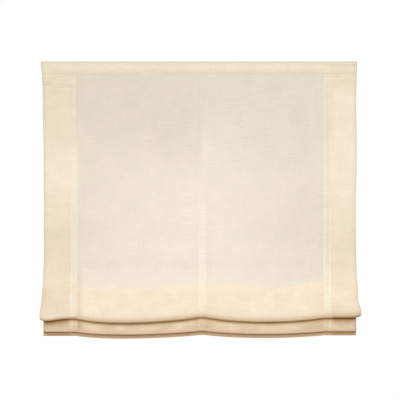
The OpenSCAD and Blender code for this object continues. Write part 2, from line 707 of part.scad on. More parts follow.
// Bracket: a bent steel angle with two wall holes and the lever's pivot hole
sink_h = 1;
sink_r = 1.1;
bend_r = bracket_t + 1.2;
module bent_angle(reach) {
    translate([bend_r, flange_z]) square([reach - bend_r, bracket_t]);
    translate([0, -bracket_h / 2]) square([bracket_t, bracket_h - bend_r]);
    intersection() {
        translate([bend_r, flange_top - bend_r]) difference() {
            circle(bend_r);
            circle(bend_r - bracket_t);
        }
        translate([0, flange_top - bend_r]) square(bend_r);
    }
}

module bracket(side) {
    x = side * bracket_pitch / 2;
    reach = axis_d + 12;
    color("lightgray") difference() {
        along_x(x - bracket_w / 2, bracket_w) bent_angle(reach);
        for (z = [-hole_pitch / 2, hole_pitch / 2])
            translate([x, 1, z]) rotate([90, 0, 0]) cylinder(r = screw_hole_r, h = bracket_t + 2);
        translate([x, -axis_d, flange_z - 1]) cylinder(r = pivot_r + run_gap, h = bracket_t + 2);
        translate([x, -axis_d, flange_top - sink_h])
            cylinder(r1 = pivot_r + run_gap, r2 = pivot_r + sink_r + run_gap, h = sink_h + eps);
    }
}

// Lock lever: a riveted pivot with an arm above the rail and a tee that holds the rail's channel
module lock_lever(side) {
    tee_h = channel_h - air_gap - seat_gap;
    tee_r = channel_w / 2 - air_gap;
    tee_w = slot_w - 2 * air_gap;
    arm_z = ridge_top + air_gap;
    color("darkgray") translate([side * bracket_pitch / 2, -axis_d, 0]) {
        translate([0, 0, plate_top + air_gap]) intersection() {
            cylinder(r = tee_r, h = tee_h);
            translate([-tee_w / 2, -tee_r, 0]) cube([tee_w, 2 * tee_r, tee_h]);
        }
        translate([0, 0, plate_top + air_gap + tee_h / 2])
            cylinder(r = tee_w / 2 - air_gap, h = arm_z - plate_top - tee_h / 2);
        translate([0, 0, arm_z]) {
            cylinder(r = 6.5, h = lever_t);
            translate([0, -3, 0]) cube([lever_l - 3, 6, lever_t]);
            translate([lever_l - 3, 0, 0]) cylinder(r = 3, h = lever_t);
            cylinder(r = pivot_r, h = flange_top - arm_z);
        }
        translate([0, 0, flange_top - sink_h]) cylinder(r1 = pivot_r, r2 = pivot_r + sink_r, h = sink_h);
    }
}

head_rail();
hook_tape();
loop_tape();
cloth();
ring_tape(0);  // ring_tape_left
ring_tape(1);  // ring_tape_centre
ring_tape(2);  // ring_tape_right
rings(0);  // rings_left
rings(1);  // rings_centre
rings(2);  // rings_right
lift_cord(0);  // lift_cord_left
lift_cord(1);  // lift_cord_centre
lift_cord(2);  // lift_cord_right
cord_stop(0);  // cord_stop_left
cord_stop(1);  // cord_stop_centre
cord_stop(2);  // cord_stop_right
square_shaft();
drum(0);  // drum_left
drum(1);  // drum_centre
drum(2);  // drum_right
cord_winding(0);  // cord_winding_left
cord_winding(1);  // cord_winding_centre
cord_winding(2);  // cord_winding_right
drum_carrier(0);  // drum_carrier_left
drum_carrier(1);  // drum_carrier_centre
drum_carrier(2);  // drum_carrier_right
shaft_bush();
idle_end_cap();
drive_core();
chain_wheel();
brake_spring();
chain_housing();
chain_cover();
cover_screws();
bracket(-1);  // bracket_left
bracket(1);  // bracket_right
lock_lever(-1);  // lock_lever_left
lock_lever(1);  // lock_lever_right
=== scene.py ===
import math

import bpy
import numpy as np
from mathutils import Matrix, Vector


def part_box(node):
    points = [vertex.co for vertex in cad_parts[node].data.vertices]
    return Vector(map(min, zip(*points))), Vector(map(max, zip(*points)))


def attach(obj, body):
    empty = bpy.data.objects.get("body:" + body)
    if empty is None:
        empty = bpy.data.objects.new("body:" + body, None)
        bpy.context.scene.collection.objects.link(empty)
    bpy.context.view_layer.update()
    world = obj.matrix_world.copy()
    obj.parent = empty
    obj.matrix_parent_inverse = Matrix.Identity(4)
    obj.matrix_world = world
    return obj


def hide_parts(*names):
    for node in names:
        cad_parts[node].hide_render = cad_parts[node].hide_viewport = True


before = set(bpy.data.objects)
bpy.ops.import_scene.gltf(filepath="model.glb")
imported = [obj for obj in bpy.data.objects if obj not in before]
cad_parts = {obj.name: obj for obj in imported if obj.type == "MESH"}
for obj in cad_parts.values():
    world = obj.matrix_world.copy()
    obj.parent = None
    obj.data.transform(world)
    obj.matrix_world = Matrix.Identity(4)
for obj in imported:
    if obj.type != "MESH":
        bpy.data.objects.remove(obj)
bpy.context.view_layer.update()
bpy.context.scene.view_settings.view_transform = "Standard"


# Camera: square on to the cloth from three metres, so that 400 pixels take in 1.27 m at the cloth.
# It stands level with the middle of the drawn-up blind.
bpy.ops.object.camera_add(location=(0.0032, -3.0262, -0.4173), rotation=(math.radians(90), 0, 0))
camera = bpy.context.object
camera.name = "photo_camera"
camera.data.lens = 85
camera.data.sensor_width = 36
bpy.context.scene.camera = camera


# Studio: a broad soft light from above the camera, a weaker one behind for the fittings, and a pale floor.
# The world shows as white, and lights the blind more from above than from below.
SUN_SPREAD = 42
SKY_LIGHT, GROUND_LIGHT = 0.58, 0.04


def soft_light(name, turn, strength):
    bpy.ops.object.light_add(type="SUN", rotation=[math.radians(a) for a in turn])
    lamp = bpy.context.object
    lamp.name = name
    lamp.data.angle = math.radians(SUN_SPREAD)
    lamp.data.energy = strength


def add_node(tree, kind, inputs=None, **settings):
    """A shader node with its settings, and its inputs set to a value or linked to another node's output."""
    made = tree.nodes.new("ShaderNode" + kind)
    for name, value in settings.items():
        setattr(made, name, value)
    for name, value in (inputs or {}).items():
        if isinstance(value, bpy.types.NodeSocket):
            tree.links.new(value, made.inputs[name])
        else:
            made.inputs[name].default_value = value
    return made


def new_finish(name, roughness, metallic=0.0):
    """A material with its shader, ready for nodes."""
    finish = bpy.data.materials.new(name)
    finish.use_nodes = True
    shader = finish.node_tree.nodes["Principled BSDF"]
    shader.inputs["Roughness"].default_value = roughness
    shader.inputs["Metallic"].default_value = metallic
    return finish, finish.node_tree, shader


soft_light("front_light", (54, 0, -12), 2.6)
soft_light("back_light", (-48, 0, -25), 1.5)

bpy.ops.mesh.primitive_plane_add(size=4.4, location=(0, 0, -3.0))
floor = bpy.context.object
floor.name = "floor"
floor_paint, _, shader = new_finish("floor_paint", 0.8)
shader.inputs["Base Color"].default_value = (0.86, 0.855, 0.845, 1)
floor.data.materials.append(floor_paint)

world = bpy.data.worlds.new("studio")
bpy.context.scene.world = world
world.use_nodes = True
sky = world.node_tree
sky.nodes.clear()
upward = add_node(sky, "SeparateXYZ", {0: add_node(sky, "TexCoord").outputs["Generated"]}).outputs["Z"]
level = add_node(
    sky, "MapRange",
    {"Value": upward, "From Min": -0.55, "From Max": 0.45, "To Min": GROUND_LIGHT, "To Max": SKY_LIGHT},
    interpolation_type="SMOOTHSTEP",
).outputs["Result"]
rays = add_node(sky, "LightPath").outputs
seen = rays["Is Camera Ray"]
for kind in ("Is Glossy Ray", "Is Transmission Ray"):
    seen = add_node(sky, "Math", {0: seen, 1: rays[kind]}, operation="MAXIMUM").outputs[0]
lit = add_node(sky, "Background", {"Strength": level}).outputs[0]
white = add_node(sky, "Background", {"Color": (1, 1, 1, 1)}).outputs[0]
either = add_node(sky, "MixShader", {"Fac": seen, 1: lit, 2: white}).outputs[0]
add_node(sky, "OutputWorld", {"Surface": either})


# Cloth: one length of semi-sheer linen, with its sides, header and foot turned to the back and sewn.
# It is one closed sheet along a hung curve: from the header on the rail, down to a full front fold, then
# through a back fold to the tail. Its sizes are in millimetres.
MM = 0.001
CLOTH_W = 1000
HALF_W = CLOTH_W / 2
CLOTH_T = 0.9
HEM_T = 0.6
LEFT_IN, RIGHT_IN = -385, 395
LIFTS = (-395, 10, 405)
TAPE_W = 20
TOP_Z = 21
HEADER_H = 40
HEM_H = 40
RING_Z = (-700, -690, -603, -300)
FRONT_Z, BACK_Z, TAIL_Z = -789, -832.5, -846
PANEL_D = 37.35
TAIL_D, BACK_REAR_D, BACK_FACE_D, FRONT_REAR_D, FRONT_LEG_D = 37.55, 39.75, 43.85, 46.05, 51.35
FRONT_OUT, FRONT_IN = 58.35, 47.35
BACK_OUT, BACK_IN = 45.05, 38.75
SAG = 15
LEFT_DRAW_IN, RIGHT_DRAW_IN = 8, 2
LEFT_FLARE, RIGHT_FLARE = 6, 15
CORNER_LIFT, CORNER_W, LEFT_DROOP = 7, 24, 9
SLACK_SHARE, LIFT_FADE = 0.13, 12
LIFT_SHARES = (0.05, -0.25, -0.13)
BACK_SAG = 0.66
SPAN_STEPS = 40

front_w, front_mid = FRONT_OUT - FRONT_IN, (FRONT_OUT + FRONT_IN) / 2
back_w, back_mid = BACK_OUT - BACK_IN, (BACK_OUT + BACK_IN) / 2
lean = FRONT_LEG_D - PANEL_D
arch = (FRONT_REAR_D - PANEL_D) / 2
bend = 1.1
ring1, ring2, ring3 = RING_Z[:3]
leg_top = ring2 - arch - 10
flat_span = TOP_Z - HEADER_H - ring3
open_span = ring3 - ring2
front_fold = ring2 - FRONT_Z
back_fold = ring1 - BACK_Z
tail_drop = ring1 - TAIL_Z

# Each entry of the hang, at a lift point: depth, height, share of the sag, bulge, share of the draw-in,
# share of the flare
flat_hang = [
    (PANEL_D, TOP_Z, 0, 0, 0, 0),
    (PANEL_D, TOP_Z - HEADER_H, 0, 0, 0, 0),
    (PANEL_D, TOP_Z - HEADER_H - 1, 0, 0, 0, 0),
    (PANEL_D, ring3 + 0.75 * flat_span, 0, 0.5, 0.75, 0),
    (PANEL_D, ring3 + 0.5 * flat_span, 0, 1, 1, 0),
    (PANEL_D, ring3 + 0.2 * flat_span, 0.1, 2, 1.1, 0),
]
front_hang = [
    (PANEL_D, ring3, 0.2, 3, 0.85, 0),
    (PANEL_D + 0.12 * lean, ring3 - 0.28 * open_span, 0.3, 3, 0.6, 0),
    (PANEL_D + 0.46 * lean, ring3 - 0.64 * open_span, 0.45, 4, 0.45, 0.1),
    (FRONT_LEG_D, ring2, 0.7, 4, 0.4, 0.25),
    (FRONT_OUT - 0.25 * (FRONT_OUT - FRONT_LEG_D), FRONT_Z + 0.5 * front_fold, 0.9, 3, 0.3, 0.4),
    (FRONT_OUT, FRONT_Z + 1.35 * front_w, 1, 3, 0.3, 1),
    (front_mid + 0.4 * front_w, FRONT_Z + 0.42 * front_w, 1, 3, 0.3, 1),
    (front_mid, FRONT_Z, 1, 3, 0.3, 0.9),
    (front_mid - 0.38 * front_w, FRONT_Z + 0.28 * front_w, 1, 3, 0.3, 0.9),
    (FRONT_IN, FRONT_Z + 0.9 * front_w, 0.95, 2, 0.3, 0.8),
    (FRONT_REAR_D, FRONT_Z + 0.55 * front_fold, 0.85, 1, 0.2, 0.4),
    (FRONT_REAR_D, leg_top, 0.7, 0, 0, 0.1),
    (PANEL_D + 1.72 * arch, ring2 + 0.62 * arch, BACK_SAG, 0, 0, 0),
    (PANEL_D + arch, ring2 + arch, BACK_SAG, 0, 0, 0),
    (PANEL_D + 0.28 * arch, ring2 + 0.62 * arch, BACK_SAG, 0, 0, 0),
]
back_hang = [
    (PANEL_D, ring2, BACK_SAG, 0, 0, 0),
    (PANEL_D + 0.45 * arch, ring2 - 2.8, BACK_SAG, 0, 0, 0),
    (PANEL_D + 1.15 * arch, ring2 - 4.8, BACK_SAG, 0, 0, 0),
    (BACK_FACE_D, leg_top, BACK_SAG, 0, 0.2, 0),
    (BACK_FACE_D + 0.6, BACK_Z + 0.5 * back_fold, BACK_SAG, 1, 0.6, 0),
    (BACK_OUT, BACK_Z + 1.2 * back_w, BACK_SAG, 1, 0.7, 0),
    (back_mid + 0.38 * back_w, BACK_Z + 0.28 * back_w, BACK_SAG, 1, 0.7, 0),
    (back_mid, BACK_Z, BACK_SAG, 1, 0.7, 0),
    (back_mid - 0.38 * back_w, BACK_Z + 0.28 * back_w, BACK_SAG, 1, 0.7, 0),
    (BACK_IN, BACK_Z + 1.2 * back_w, BACK_SAG, 1, 0.7, 0),
    (BACK_REAR_D, BACK_Z + 0.5 * back_fold, BACK_SAG, 1, 0.7, 0),
    (BACK_REAR_D, ring1 - 10, BACK_SAG, 0, 0.4, 0),
    (BACK_REAR_D, ring1 - 1.5, BACK_SAG, 0, 0.4, 0),
    (PANEL_D + 1.75 * bend, ring1 + 0.6 * bend, BACK_SAG, 0, 0.4, 0),
    (PANEL_D + 1.1 * bend, ring1 + bend, BACK_SAG, 0, 0.4, 0),
    (PANEL_D + 0.35 * bend, ring1 + 0.6 * bend, BACK_SAG, 0, 0.4, 0),
]
tail_hang = [
    (PANEL_D, ring1 - 1, BACK_SAG, 0, 0.4, 0),
    (TAIL_D - 0.3, ring1 - 10, BACK_SAG, 0, 0.4, 0),
    (TAIL_D - 0.9, ring1 - 0.5 * tail_drop, BACK_SAG, 0, 0.6, 0),
    (TAIL_D - 1.5, TAIL_Z + HEM_H + 1, BACK_SAG, 0, 0.7, 0),
    (TAIL_D - 1.5, TAIL_Z + HEM_H, BACK_SAG, 0, 0.7, 0),
    (TAIL_D - 2, TAIL_Z, BACK_SAG, 0, 0.7, 0),
]


def curve_through(points):
    """A smooth curve through points, with tangents weighted by the chords beside them."""
    p = np.array(points, float)
    chord = np.linalg.norm(np.diff(p[:, :2], axis=0), axis=1)[:, None]
    slope = np.diff(p, axis=0) / chord
    middle = (slope[:-1] * chord[1:] + slope[1:] * chord[:-1]) / (chord[1:] + chord[:-1])
    tangent = np.vstack([slope[:1], middle, slope[-1:]])
    rows = []
    for i in range(len(chord)):
        u = np.linspace(0, 1, SPAN_STEPS, endpoint=False)[:, None]
        rows.append(
            p[i] * (1 + 2 * u) * (1 - u) ** 2
            + tangent[i] * chord[i] * u * (1 - u) ** 2
            + p[i + 1] * u * u * (3 - 2 * u)
            + tangent[i + 1] * chord[i] * u * u * (u - 1)
        )
    return np.vstack(rows + [p[-1:]])


hang = curve_through(flat_hang + front_hang + back_hang + tail_hang)
hang_run = np.concatenate([[0], np.cumsum(np.linalg.norm(np.diff(hang[:, :2], axis=0), axis=1))])
hang_step = np.gradient(hang, hang_run, axis=0)
FLAT_L = hang_run[-1]


def run_at(steps):
    """Length of cloth from the top edge to the start of entry number steps of the hang."""
    return hang_run[SPAN_STEPS * steps]


front_start = len(flat_hang)
back_start = front_start + len(front_hang)
tail_start = back_start + len(back_hang)
LAP_RUN = run_at(front_start + 3)
FRONT_EDGE_RUN = run_at(front_start + 7)
BACK_EDGE_RUN = run_at(back_start + 7)
BACK_TOP_RUN = run_at(back_start + 3)
BACK_SEEN_RUN = BACK_TOP_RUN + hang[SPAN_STEPS * (back_start + 3), 1] - FRONT_Z
LOW_RING_RUN = run_at(tail_start)


def hump(t):
    """From 0 up to 1 and back, as t goes from 0 to 1."""
    return (1 - np.cos(2 * np.pi * t)) / 2


def bay(x, lift, depth, skew):
    """Share of the sag between lift point number lift and the next, which their tapes hold straight."""
    start, end = LIFTS[lift] + TAPE_W / 2, LIFTS[lift + 1] - TAPE_W / 2
    u = np.clip((x - start) / (end - start), 0, 1)
    held = LIFT_SHARES[lift] * (1 - u) ** LIFT_FADE + LIFT_SHARES[lift + 1] * u**LIFT_FADE
    return SLACK_SHARE + depth * np.sin(np.pi * u**skew) + held


def sag_share(x):
    """Little at the three lift points, most between them."""
    return np.select(
        [x < LIFTS[0], x < LIFTS[1], x < LIFTS[2]],
        [SLACK_SHARE + LIFT_SHARES[0], bay(x, 0, 0.93, 0.72), bay(x, 1, 0.73, 0.99)],
        SLACK_SHARE + LIFT_SHARES[2],
    )


def end_rise(x):
    """Rise of the front fold at its ends: the left end droops, and both corners are drawn up."""
    corner = np.clip((np.abs(x) - HALF_W + CORNER_W) / CORNER_W, 0, None) ** 2
    border = LIFTS[0] - TAPE_W / 2
    droop = hump(0.5 * np.clip((border - x) / (HALF_W + border), 0, 1))
    return corner * CORNER_LIFT - droop * LEFT_DROOP


def edge_share(x):
    """How far the side edges' draw-in and flare bear on the cloth at x."""
    a, c = LIFTS[0], LIFTS[2]
    left = -(np.clip((a - x) / (HALF_W + a), 0, None) ** 2)
    right = np.clip((x - c) / (HALF_W - c), 0, None) ** 2
    return np.where(x < a, left, np.where(x > c, right, 0))


# Small draws of the two side edges, as lengths of cloth from the top with how far in the edge lies there
LEFT_DRAWS = ((20, 0.5), (45, 3.2), (90, 4.4), (125, 3), (180, 0.3), (305, 1.4), (360, 0.6), (580, 0.8),
              (650, 4), (715, 6), (760, 3.6), (800, 2.4), (850, 4), (890, 8), (960, 8), (1060, 3), (1360, 2))
RIGHT_DRAWS = ((20, 0), (85, 2), (135, 2.2), (190, 0), (290, -1.2), (350, -0.6), (430, 1.5), (530, 1.6),
               (640, 0.4), (690, 2.4), (790, 4.4), (850, 4), (890, 5), (960, 5), (1060, 2), (1360, 1))


def edge_draw(x, run):
    """How far in the nearer side edge is drawn, at a length of cloth from the top."""
    left, right = (np.interp(run, *np.array(draws).T) for draws in (LEFT_DRAWS, RIGHT_DRAWS))
    return np.where(x < 0, left, right)


# The rows of stitches along the two edges of each tape
SEAMS = np.array((-403.5, -386.5, 1.5, 18.5, 396.5, 413.5))


def ripple(x, run):
    """Slack in the hanging cloth, and the small puckers along its rows of stitches and in its borders."""
    slack = 0.45 * np.sin(x / 47 + 0.6 * np.sin(run / 130)) + 0.3 * np.sin(x / 21.5 + run / 260)
    slack += 0.3 * np.sin(run / 38 + 2.2 * np.sin(x / 95))
    drop = np.clip((run - HEADER_H - 15) / 90, 0, 1) * np.clip((LAP_RUN + 60 - run) / 80, 0, 1)
    sewn = np.exp(-((np.min(np.abs(x[..., None] - SEAMS), axis=-1) / 6.5) ** 2))
    pucker = 0.16 * np.sin(run / 3.1 + 1.7 * np.sin(run / 17) + x / 40)
    border = np.clip((np.abs(x - 5) - 412) / 25, 0, 1) * np.clip((HALF_W - np.abs(x)) / 20, 0, 1)
    crumple = np.sin(run / 4.6 + 1.3 * np.sin(x / 14)) * np.exp(-(((run - 62) / 26) ** 2))
    crumple = 0.3 * crumple + 0.22 * np.sin(run / 15 + 1.8 * np.sin(x / 22 + run / 70)) * drop
    return slack * drop * (1 - 0.7 * sewn) + pucker * sewn * np.clip(drop + 0.15, 0, 1) + crumple * border


def on_cloth(x, run, lift):
    """Points of the cloth at stations x and lengths run from its top edge, lift off its middle."""
    x, run = np.broadcast_arrays(np.asarray(x, float), np.asarray(run, float))
    row = [np.interp(run, hang_run, hang[:, k]) for k in range(6)]
    step = [np.interp(run, hang_run, hang_step[:, k]) for k in range(6)]
    w = sag_share(x)
    lifted = end_rise(x)
    depth, height = row[0] + w * row[3], row[1] - w * row[2] * SAG + lifted * row[5]
    out, down = step[0] + w * step[3], step[1] - w * step[2] * SAG + lifted * step[5]
    size = np.hypot(out, down)
    lift = lift + ripple(x, run)
    flare = np.where(x < 0, LEFT_FLARE, RIGHT_FLARE)
    draw_in = np.where(x < 0, LEFT_DRAW_IN, RIGHT_DRAW_IN)
    aside = x + edge_share(x) * (row[5] * flare - row[4] * draw_in - edge_draw(x, run))
    return np.stack([aside, -(depth - down / size * lift), height + out / size * lift], -1) * MM


def placed(name, mesh):
    """A mesh as a piece of the scene, selected alone."""
    piece = bpy.data.objects.new(name, mesh)
    bpy.context.scene.collection.objects.link(piece)
    bpy.ops.object.select_all(action="DESELECT")
    piece.select_set(True)
    bpy.context.view_layer.objects.active = piece
    return piece


def sheet_piece(name, columns, runs, front, back, marks):
    """A closed sheet between two lifts of the cloth, with its flat place as UV, and marks as attributes."""
    x, run = np.meshgrid(columns, runs)
    nr, nx = x.shape
    points = np.concatenate([
        on_cloth(x, run, front(x, run)).reshape(-1, 3), on_cloth(x, run, back(x, run)).reshape(-1, 3)
    ])
    k = np.arange(nr * nx).reshape(nr, nx)
    b = k + nr * nx
    skin = np.stack([k[:-1, :-1], k[1:, :-1], k[1:, 1:], k[:-1, 1:]], -1).reshape(-1, 4)
    faces = np.concatenate([
        skin,
        skin[:, ::-1] + nr * nx,
        np.stack([k[0, :-1], k[0, 1:], b[0, 1:], b[0, :-1]], -1),
        np.stack([k[-1, 1:], k[-1, :-1], b[-1, :-1], b[-1, 1:]], -1),
        np.stack([k[:-1, 0], b[:-1, 0], b[1:, 0], k[1:, 0]], -1),
        np.stack([k[1:, -1], b[1:, -1], b[:-1, -1], k[:-1, -1]], -1),
    ])
    mesh = bpy.data.meshes.new(name)
    mesh.from_pydata(points.tolist(), [], faces.tolist())
    flat = np.stack([x, -run], -1).reshape(-1, 2) * MM
    uv = mesh.uv_layers.new(name="flat_cloth")
    uv.data.foreach_set("uv", np.concatenate([flat, flat])[faces.ravel()].astype(np.float32).ravel())
    for mark, (values, on_back) in marks.items():
        layer = mesh.attributes.new(mark, "FLOAT", "POINT")
        value = values(x, run).ravel().astype(np.float32)
        layer.data.foreach_set("value", np.concatenate([value, value * on_back]))
    piece = placed(name, mesh)
    bpy.ops.object.shade_smooth_by_angle(angle=math.radians(50))
    return piece


def rise(x, start, end):
    """A smooth step from 0 at start to 1 at end."""
    t = np.clip((x - start) / (end - start), 0, 1)
    return t * t * (3 - 2 * t)


def stretch(x, start, full, fading, end):
    """Rises from start to full, and falls again from fading to end."""
    return rise(x, start, full) * (1 - rise(x, fading, end))


def bell(x, middle, width):
    return np.exp(-(((x - middle) / width) ** 2))


# The marks are shares of a tint by place on the flat cloth: x across it and run down it, in millimetres.
# Beyond the middle of a bay, x belongs to the tape at that side.
BAY_MID = 200


def left_border(x):
    return 1 - rise(x, LEFT_IN - 0.2, LEFT_IN + 0.6)


def right_border(x):
    return rise(x, RIGHT_IN - 0.6, RIGHT_IN + 0.2)


def side_mark(x, run):
    return np.maximum(left_border(x), right_border(x))


def header_mark(x, run):
    return 1 - rise(run, HEADER_H - 0.5, HEADER_H + 0.5)


def foot_mark(x, run):
    return rise(run, FLAT_L - HEM_H - 0.5, FLAT_L - HEM_H + 0.5)


def hem_lift(x, run):
    """How far the turned hems stand off the back of the cloth."""
    turned = np.maximum(side_mark(x, run), np.maximum(header_mark(x, run), foot_mark(x, run)))
    return HEM_T * (turned > 0.5)


def tucked_share(run):
    """The layers that are folded out of sight, behind the back fold and above the foot of the tail."""
    return stretch(run, BACK_EDGE_RUN + 20, BACK_EDGE_RUN + 45, FLAT_L - 45, FLAT_L - 25)


def edge_shade_mark(x, run):
    """Painted shade on the cloth's rolled outer edges, where they turn away and a little way in."""
    inset = HALF_W - np.abs(x)
    sides = np.maximum(1 - rise(inset, 0.8, 4.2), 0.3 * (1 - rise(inset, 2, 15)))
    ends = np.maximum(0.7 * (1 - rise(run, 0.8, 4)), 0.2 * rise(run, FLAT_L - 4, FLAT_L - 0.8))
    return np.maximum(sides * (1 - 0.8 * tucked_share(run)), ends)


def sewn_share(run):
    """The tapes show through little near the header, most at the front fold, and less behind it."""
    behind = rise(run, FRONT_EDGE_RUN - 10, FRONT_EDGE_RUN + 10)
    return rise(run, 200, 500) + 0.35 * rise(run, 660, 760) - 0.2 * behind


SEAM_SHARES = (1, 1, 1.3, 1.3, 2, 2)


def seam_mark(x, run):
    """The cloth drawn tight along each seam, by its share; the right two show from the header on."""
    lines = np.max(bell(x[..., None], SEAMS, 2.0) * SEAM_SHARES, axis=-1)
    from_top = np.where(x > BAY_MID, 0.6, 0) * rise(run, HEADER_H, HEADER_H + 20)
    return lines * np.maximum(sewn_share(run), from_top)


HEADER_ROW, CORNER_ROW = HEADER_H - 2.5, 11
GROOVE_SHADES = (0.1, 1.0, 0.3, 0.3, 0.3, 0.2)


def groove_shade_mark(x, run):
    """Painted shade where stitches pull the cloth in: along the header, down each seam, and round the right
    tape.
    """
    lines = bell(x[..., None], SEAMS, 1.6)
    down = np.max(lines * GROOVE_SHADES, axis=-1) * stretch(run, HEADER_ROW, HEADER_H, 130, 340)
    along = bell(run, HEADER_ROW, 2.2) * (0.1 + 0.2 * rise(x, LEFT_IN, LEFT_IN + 6) + 0.5 * right_border(x))
    corner = bell(run, CORNER_ROW, 2.2) * right_border(x)
    hollow = 0.6 * bell(x, LIFTS[2] + 2, 7) * stretch(run, 130, 220, 600, 700)
    puckers = np.max(lines[..., 4:], axis=-1) * np.clip(np.sin(run / 1.9 + 1.6 * np.sin(run / 23)), 0, 1)
    hollow = hollow + 0.6 * puckers * stretch(run, 45, 70, 600, 700)
    return np.max([down, along, corner, hollow], axis=0)


def rumple_shade_mark(x, run):
    """Painted shade of the fine creases across the borders under the header, most on the left."""
    across = 1 - rise(x, LEFT_IN - 12, LEFT_IN) + 0.3 * rise(x, RIGHT_IN + 18, RIGHT_IN + 30)
    return across * bell(run, 68, 34)


def painted_highlight_mark(x, run):
    """Painted highlight where the cloth stands proud: the header, and the left border, tape and lip."""
    header = bell(run, 17, 10) * (1 - 0.6 * right_border(x))
    lip = bell(run, FRONT_EDGE_RUN - 16, 6) * (1 - rise(x, LEFT_IN - 6, LEFT_IN))
    swell = bell(run, FRONT_EDGE_RUN - 38, 14) * bell(x, -408, 20)
    smooth = 0.25 * rumple_shade_mark(x, run) * (x < 0)
    tape = 0.45 * bell(x, -393, 4) * stretch(run, HEADER_H, HEADER_H + 8, 130, 220)
    return header + 0.8 * (lip + swell) + smooth + tape


def deep_shade_mark(x, run):
    """Painted shade on the folded layers behind the front fold, which get little light through."""
    return rise(run, FRONT_EDGE_RUN, FRONT_EDGE_RUN + 30)


def backed_mark(x, run):
    """The white tapes behind the cloth show through as paler bands."""
    off = np.min(np.abs(x[..., None] - np.array(LIFTS)), axis=-1)
    fold = 1.3 * (x > BAY_MID) * rise(run, 690, 740) + 0.8 * (x < -BAY_MID) * rise(run, 715, 750)
    fold = fold * (1 - rise(run, FRONT_EDGE_RUN - 20, FRONT_EDGE_RUN))
    middle = 1.6 * (np.abs(x) < BAY_MID) * stretch(run, 430, 520, 620, 680)
    shown = sewn_share(run) * (1 + fold + middle) * (1 - 0.8 * deep_shade_mark(x, run))
    return (1 - rise(off, 8.5, 11)) * shown


def lap_mark(x, run):
    """The gathered layers show through the front fold, from an uneven line near its upper ring."""
    start = LAP_RUN - 16 - 10 * bell(x, 82, 34) - 15 * rise(x, 280, 390) + 2 * np.sin(x / 31)
    return rise(run, start, start + 24)


def leaning_share(run):
    """Where the cloth leans out towards the front fold."""
    return rise(run, 580, 660)


def sheer_light(x, run):
    """Light through the sheer cloth: most in its middle, with a step at the centre tape above."""
    across = np.clip((x - LEFT_IN) / (RIGHT_IN - LEFT_IN), 0, 1)
    low_sides = 0.32 * rise(run, 330, 480) * (1 - stretch(across, 0, 0.2, 0.55, 0.95))
    low = rise(run, 120, 420) * (0.6 + 0.4 * hump(across) - low_sides) * (1 - 0.55 * leaning_share(run))
    high = 0.27 * rise(across, 0.2, 0.5) * (1 - rise(run, 120, 330))
    step = np.where(x > LIFTS[1], 0.3 * (1 - rise(x, 80, 230)), -0.2 * (1 - rise(-x, 60, 230)))
    return low + high + step * bell(run, 250, 80)


def border_light(x, run):
    """Light through the doubled borders: most at half height, and early beside the right tape."""
    plain = np.where(x < 0, 0.38, 0.55) - 0.2 * bell(run, 585, 45)
    beside = rise(x, 416, 432) * stretch(run, 60, 120, 380, 500)
    lit = plain + (1 - plain) * np.maximum(bell(run, 350, 100), beside)
    fold = np.where(x < 0, 0, 0.4) * stretch(run, 690, 740, 765, 790)
    return lit - np.where(x < 0, 0.34, 0.3) * leaning_share(run) + fold


def light_mark(x, run):
    sheer = sheer_light(x, run)
    return sheer + (border_light(x, run) - sheer) * side_mark(x, run)


def green_mark(x, run):
    """The upper right of the sheer cloth is a shade greener than the rest."""
    return rise(x, -40, 120) * (1 - rise(run, 240, 400))


def roll_shade_mark(x, run):
    """Painted shade on the lower half of each rolled fold, seen from the front as a tan band."""
    full = 9 * (1 - rise(x, LEFT_IN - 6, LEFT_IN)) - 5 * rise(x, RIGHT_IN, RIGHT_IN + 6)
    front = stretch(run - FRONT_EDGE_RUN, full - 24, full / 3 - 8, 20, 40)
    back = rise(run - BACK_EDGE_RUN, -18, -6)
    return front + back * (1 - tucked_share(run))


def under_fold(x, run, reach):
    """The strip of the back fold just below the front fold's edge, fading out over reach."""
    hidden = BACK_SEEN_RUN + 0.34 * SAG * sag_share(x) - end_rise(x)
    return (1 - rise(run, hidden, hidden + reach)) * (run > BACK_TOP_RUN)


def crease_mark(x, run):
    """The deep shade under each rolled fold, longest at the borders, and on the stack's foot and ends."""
    border = rise(np.abs(x - 5), 408, 424)
    corner = rise(np.abs(x), HALF_W - 60, HALF_W - 10)
    early = 5 * border * (x > 0)
    front = stretch(run - FRONT_EDGE_RUN, -7 - early, 2 - early / 2, 6, 16)
    front = front * (0.82 + 0.18 * border - 0.3 * bell(x, LIFTS[1], 50))
    back = 0.35 * stretch(run - BACK_EDGE_RUN, -6, 2, 6, 16)
    tail = (0.5 + 0.2 * border) * rise(run, FLAT_L - 14, FLAT_L - 6)
    under = border * (0.64 + 0.2 * corner) * under_fold(x, run, 30)
    on_back = (run > BACK_TOP_RUN) * (1 - rise(run, BACK_EDGE_RUN, BACK_EDGE_RUN + 10))
    ends = 0.5 * rise(np.abs(x), HALF_W - 8, HALF_W - 2) * on_back
    return front + back + tail + under + ends


# Place, width and depth of the painted shade in each hollow beside a tape
TUCK_SHADES = ((-377, 9, 1.3), (-7, 9, 0.5), (27, 14, 0.6), (384, 22, 0.75))


def tuck_shade_mark(x, run):
    """Painted shade in the hollows beside the tapes, full in the folded layers and faint low on the front."""
    tuck_shade = sum(depth * bell(x, place, width) for place, width, depth in TUCK_SHADES)
    low = rise(run, 620, 720)
    on_front = np.select([x < -BAY_MID, x > BAY_MID], [0.36 * low, 0.16 * low], 0.13 * rise(run, 500, 600))
    on_front = on_front * (1 - rise(run, FRONT_EDGE_RUN - 20, FRONT_EDGE_RUN))
    return tuck_shade * np.maximum(on_front, deep_shade_mark(x, run))


def glow_mark(x, run):
    """The warm light between the folds: on the back fold below the front one, and along both rolled edges."""
    edges = stretch(run - FRONT_EDGE_RUN, -9, -3, 6, 16) + stretch(run - BACK_EDGE_RUN, -5, 0, 6, 16)
    return np.maximum(under_fold(x, run, 15), 0.3 * edges)


COLUMN_STEP = 8.2
RUN_STEPS = (0.7, 6.5)


